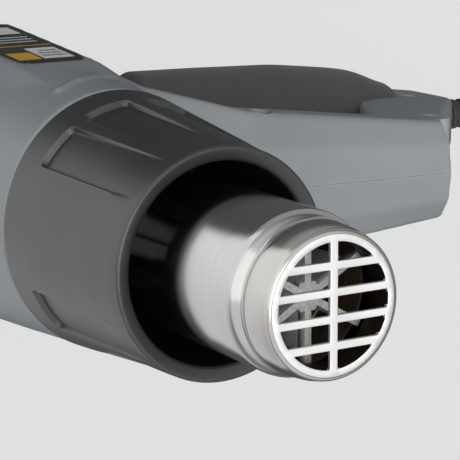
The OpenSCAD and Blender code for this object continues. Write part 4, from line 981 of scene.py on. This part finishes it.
FLOOR_HALF_MM, FLOOR_TOP_MM, GLOW_SHARE = 3000, -0.02, 0.85
floor = mesh_object("floor", *slab(
    (-FLOOR_HALF_MM, -FLOOR_HALF_MM, -12), (FLOOR_HALF_MM, FLOOR_HALF_MM, FLOOR_TOP_MM)))
made, tree = new_material("pale_floor")
rays, any_eye = seen_directly(tree)
where = add(tree, "ShaderNodeTexCoord")
place = add(tree, "ShaderNodeSeparateXYZ", {"Vector": (where, "Object")})
across = add(tree, "ShaderNodeVectorMath", {0: (where, "Object"), 1: (1.0, 0.25, 0.0)}, operation="DOT_PRODUCT")
near = add(tree, "ShaderNodeMapRange", {
    "Value": (across, "Value"), "From Min": 0.015, "From Max": 0.065, "To Min": 0.08, "To Max": 1.4},
    interpolation_type="SMOOTHSTEP")
distance = add(tree, "ShaderNodeVectorMath", {0: (where, "Object")}, operation="LENGTH")
far = add(tree, "ShaderNodeMapRange", {
    "Value": (distance, "Value"), "From Min": 0.22, "From Max": 0.36, "To Max": 0.5},
    interpolation_type="SMOOTHSTEP")
field = add(tree, "ShaderNodeMath", {0: (near, "Result"), 1: (far, "Result")}, operation="MAXIMUM")
slant = add(tree, "ShaderNodeMapRange", {
    "Value": (place, "Y"), "From Min": -0.1, "From Max": 0.6, "To Min": 1.15, "To Max": 0.25})
mirrored = add(tree, "ShaderNodeMath", {
    0: (field, "Value"), 1: (slant, "Result"), 2: -1.0}, operation="MULTIPLY_ADD")
glow = add(tree, "ShaderNodeMath", {
    0: (mirrored, "Value"), 1: (rays, "Is Glossy Ray"), 2: 1.0}, operation="MULTIPLY_ADD")
plain = add(tree, "ShaderNodeBsdfDiffuse", {"Color": linear("#848688")})
even = add(tree, "ShaderNodeEmission", {"Color": linear("#EBEBEB"), "Strength": (glow, "Value")})
share = add(tree, "ShaderNodeMath", {0: (any_eye, "Value"), 1: GLOW_SHARE}, operation="MULTIPLY")
mixed = add(tree, "ShaderNodeMixShader", {0: (share, "Value"), 1: (plain, "BSDF"), 2: (even, "Emission")})
add(tree, "ShaderNodeOutputMaterial", {"Surface": (mixed, "Shader")})
floor.data.materials.append(made)
print("floor", len(tree.nodes), "nodes")

# %% World and lamps
world = bpy.data.worlds.new("studio")
world.use_nodes = True
bpy.context.scene.world = world
tree = world.node_tree
tree.nodes.clear()
rays, any_eye = seen_directly(tree)
where = add(tree, "ShaderNodeTexCoord")
aim = add(tree, "ShaderNodeVectorMath", {
    0: (where, "Generated"), 1: (0.3, -0.05, 0.95)}, operation="DOT_PRODUCT")
level = add(tree, "ShaderNodeMapRange", {
    "Value": (aim, "Value"), "From Min": 0.35, "From Max": 1.0, "To Min": 0.1, "To Max": 2.0})
sky = add(tree, "ShaderNodeBackground", {"Color": linear("#F2F5F8"), "Strength": (level, "Result")})
towards = add(tree, "ShaderNodeVectorMath", {
    0: (where, "Generated"), 1: (0.5, 0.1, 0.85)}, operation="DOT_PRODUCT")
panel = add(tree, "ShaderNodeMapRange", {
    "Value": (towards, "Value"), "From Min": -0.4, "From Max": 0.5, "To Min": -0.9, "To Max": 0.2})
glow = add(tree, "ShaderNodeMath", {
    0: (panel, "Result"), 1: (rays, "Is Glossy Ray"), 2: 1.0}, operation="MULTIPLY_ADD")
even = add(tree, "ShaderNodeBackground", {"Color": linear("#E3E3E3"), "Strength": (glow, "Value")})
mixed = add(tree, "ShaderNodeMixShader", {0: (any_eye, "Value"), 1: (sky, "Background"), 2: (even, "Background")})
add(tree, "ShaderNodeOutputWorld", {"Surface": (mixed, "Shader")})


def soft_sun(name, towards, strength, angle):
    """A sun lamp whose light travels along 'towards'; a wide angle makes it soft."""
    lamp = bpy.data.lights.new(name, "SUN")
    lamp.energy, lamp.angle = strength, np.radians(angle)
    made = bpy.data.objects.new(name, lamp)
    z = -np.asarray(towards, float)
    z /= np.linalg.norm(z)
    x = np.cross([0, 0, 1.0], z)
    x /= np.linalg.norm(x)
    made.matrix_world = matrix_of(np.array([x, np.cross(z, x), z]).T, (0, 0, 0))
    bpy.context.collection.objects.link(made)


soft_sun("key", (-0.3, 0.05, -0.95), 1.0, 40)
soft_sun("side", (-0.9, 0.35, -0.2), 0.5, 60)
bpy.context.scene.view_settings.view_transform = "Standard"
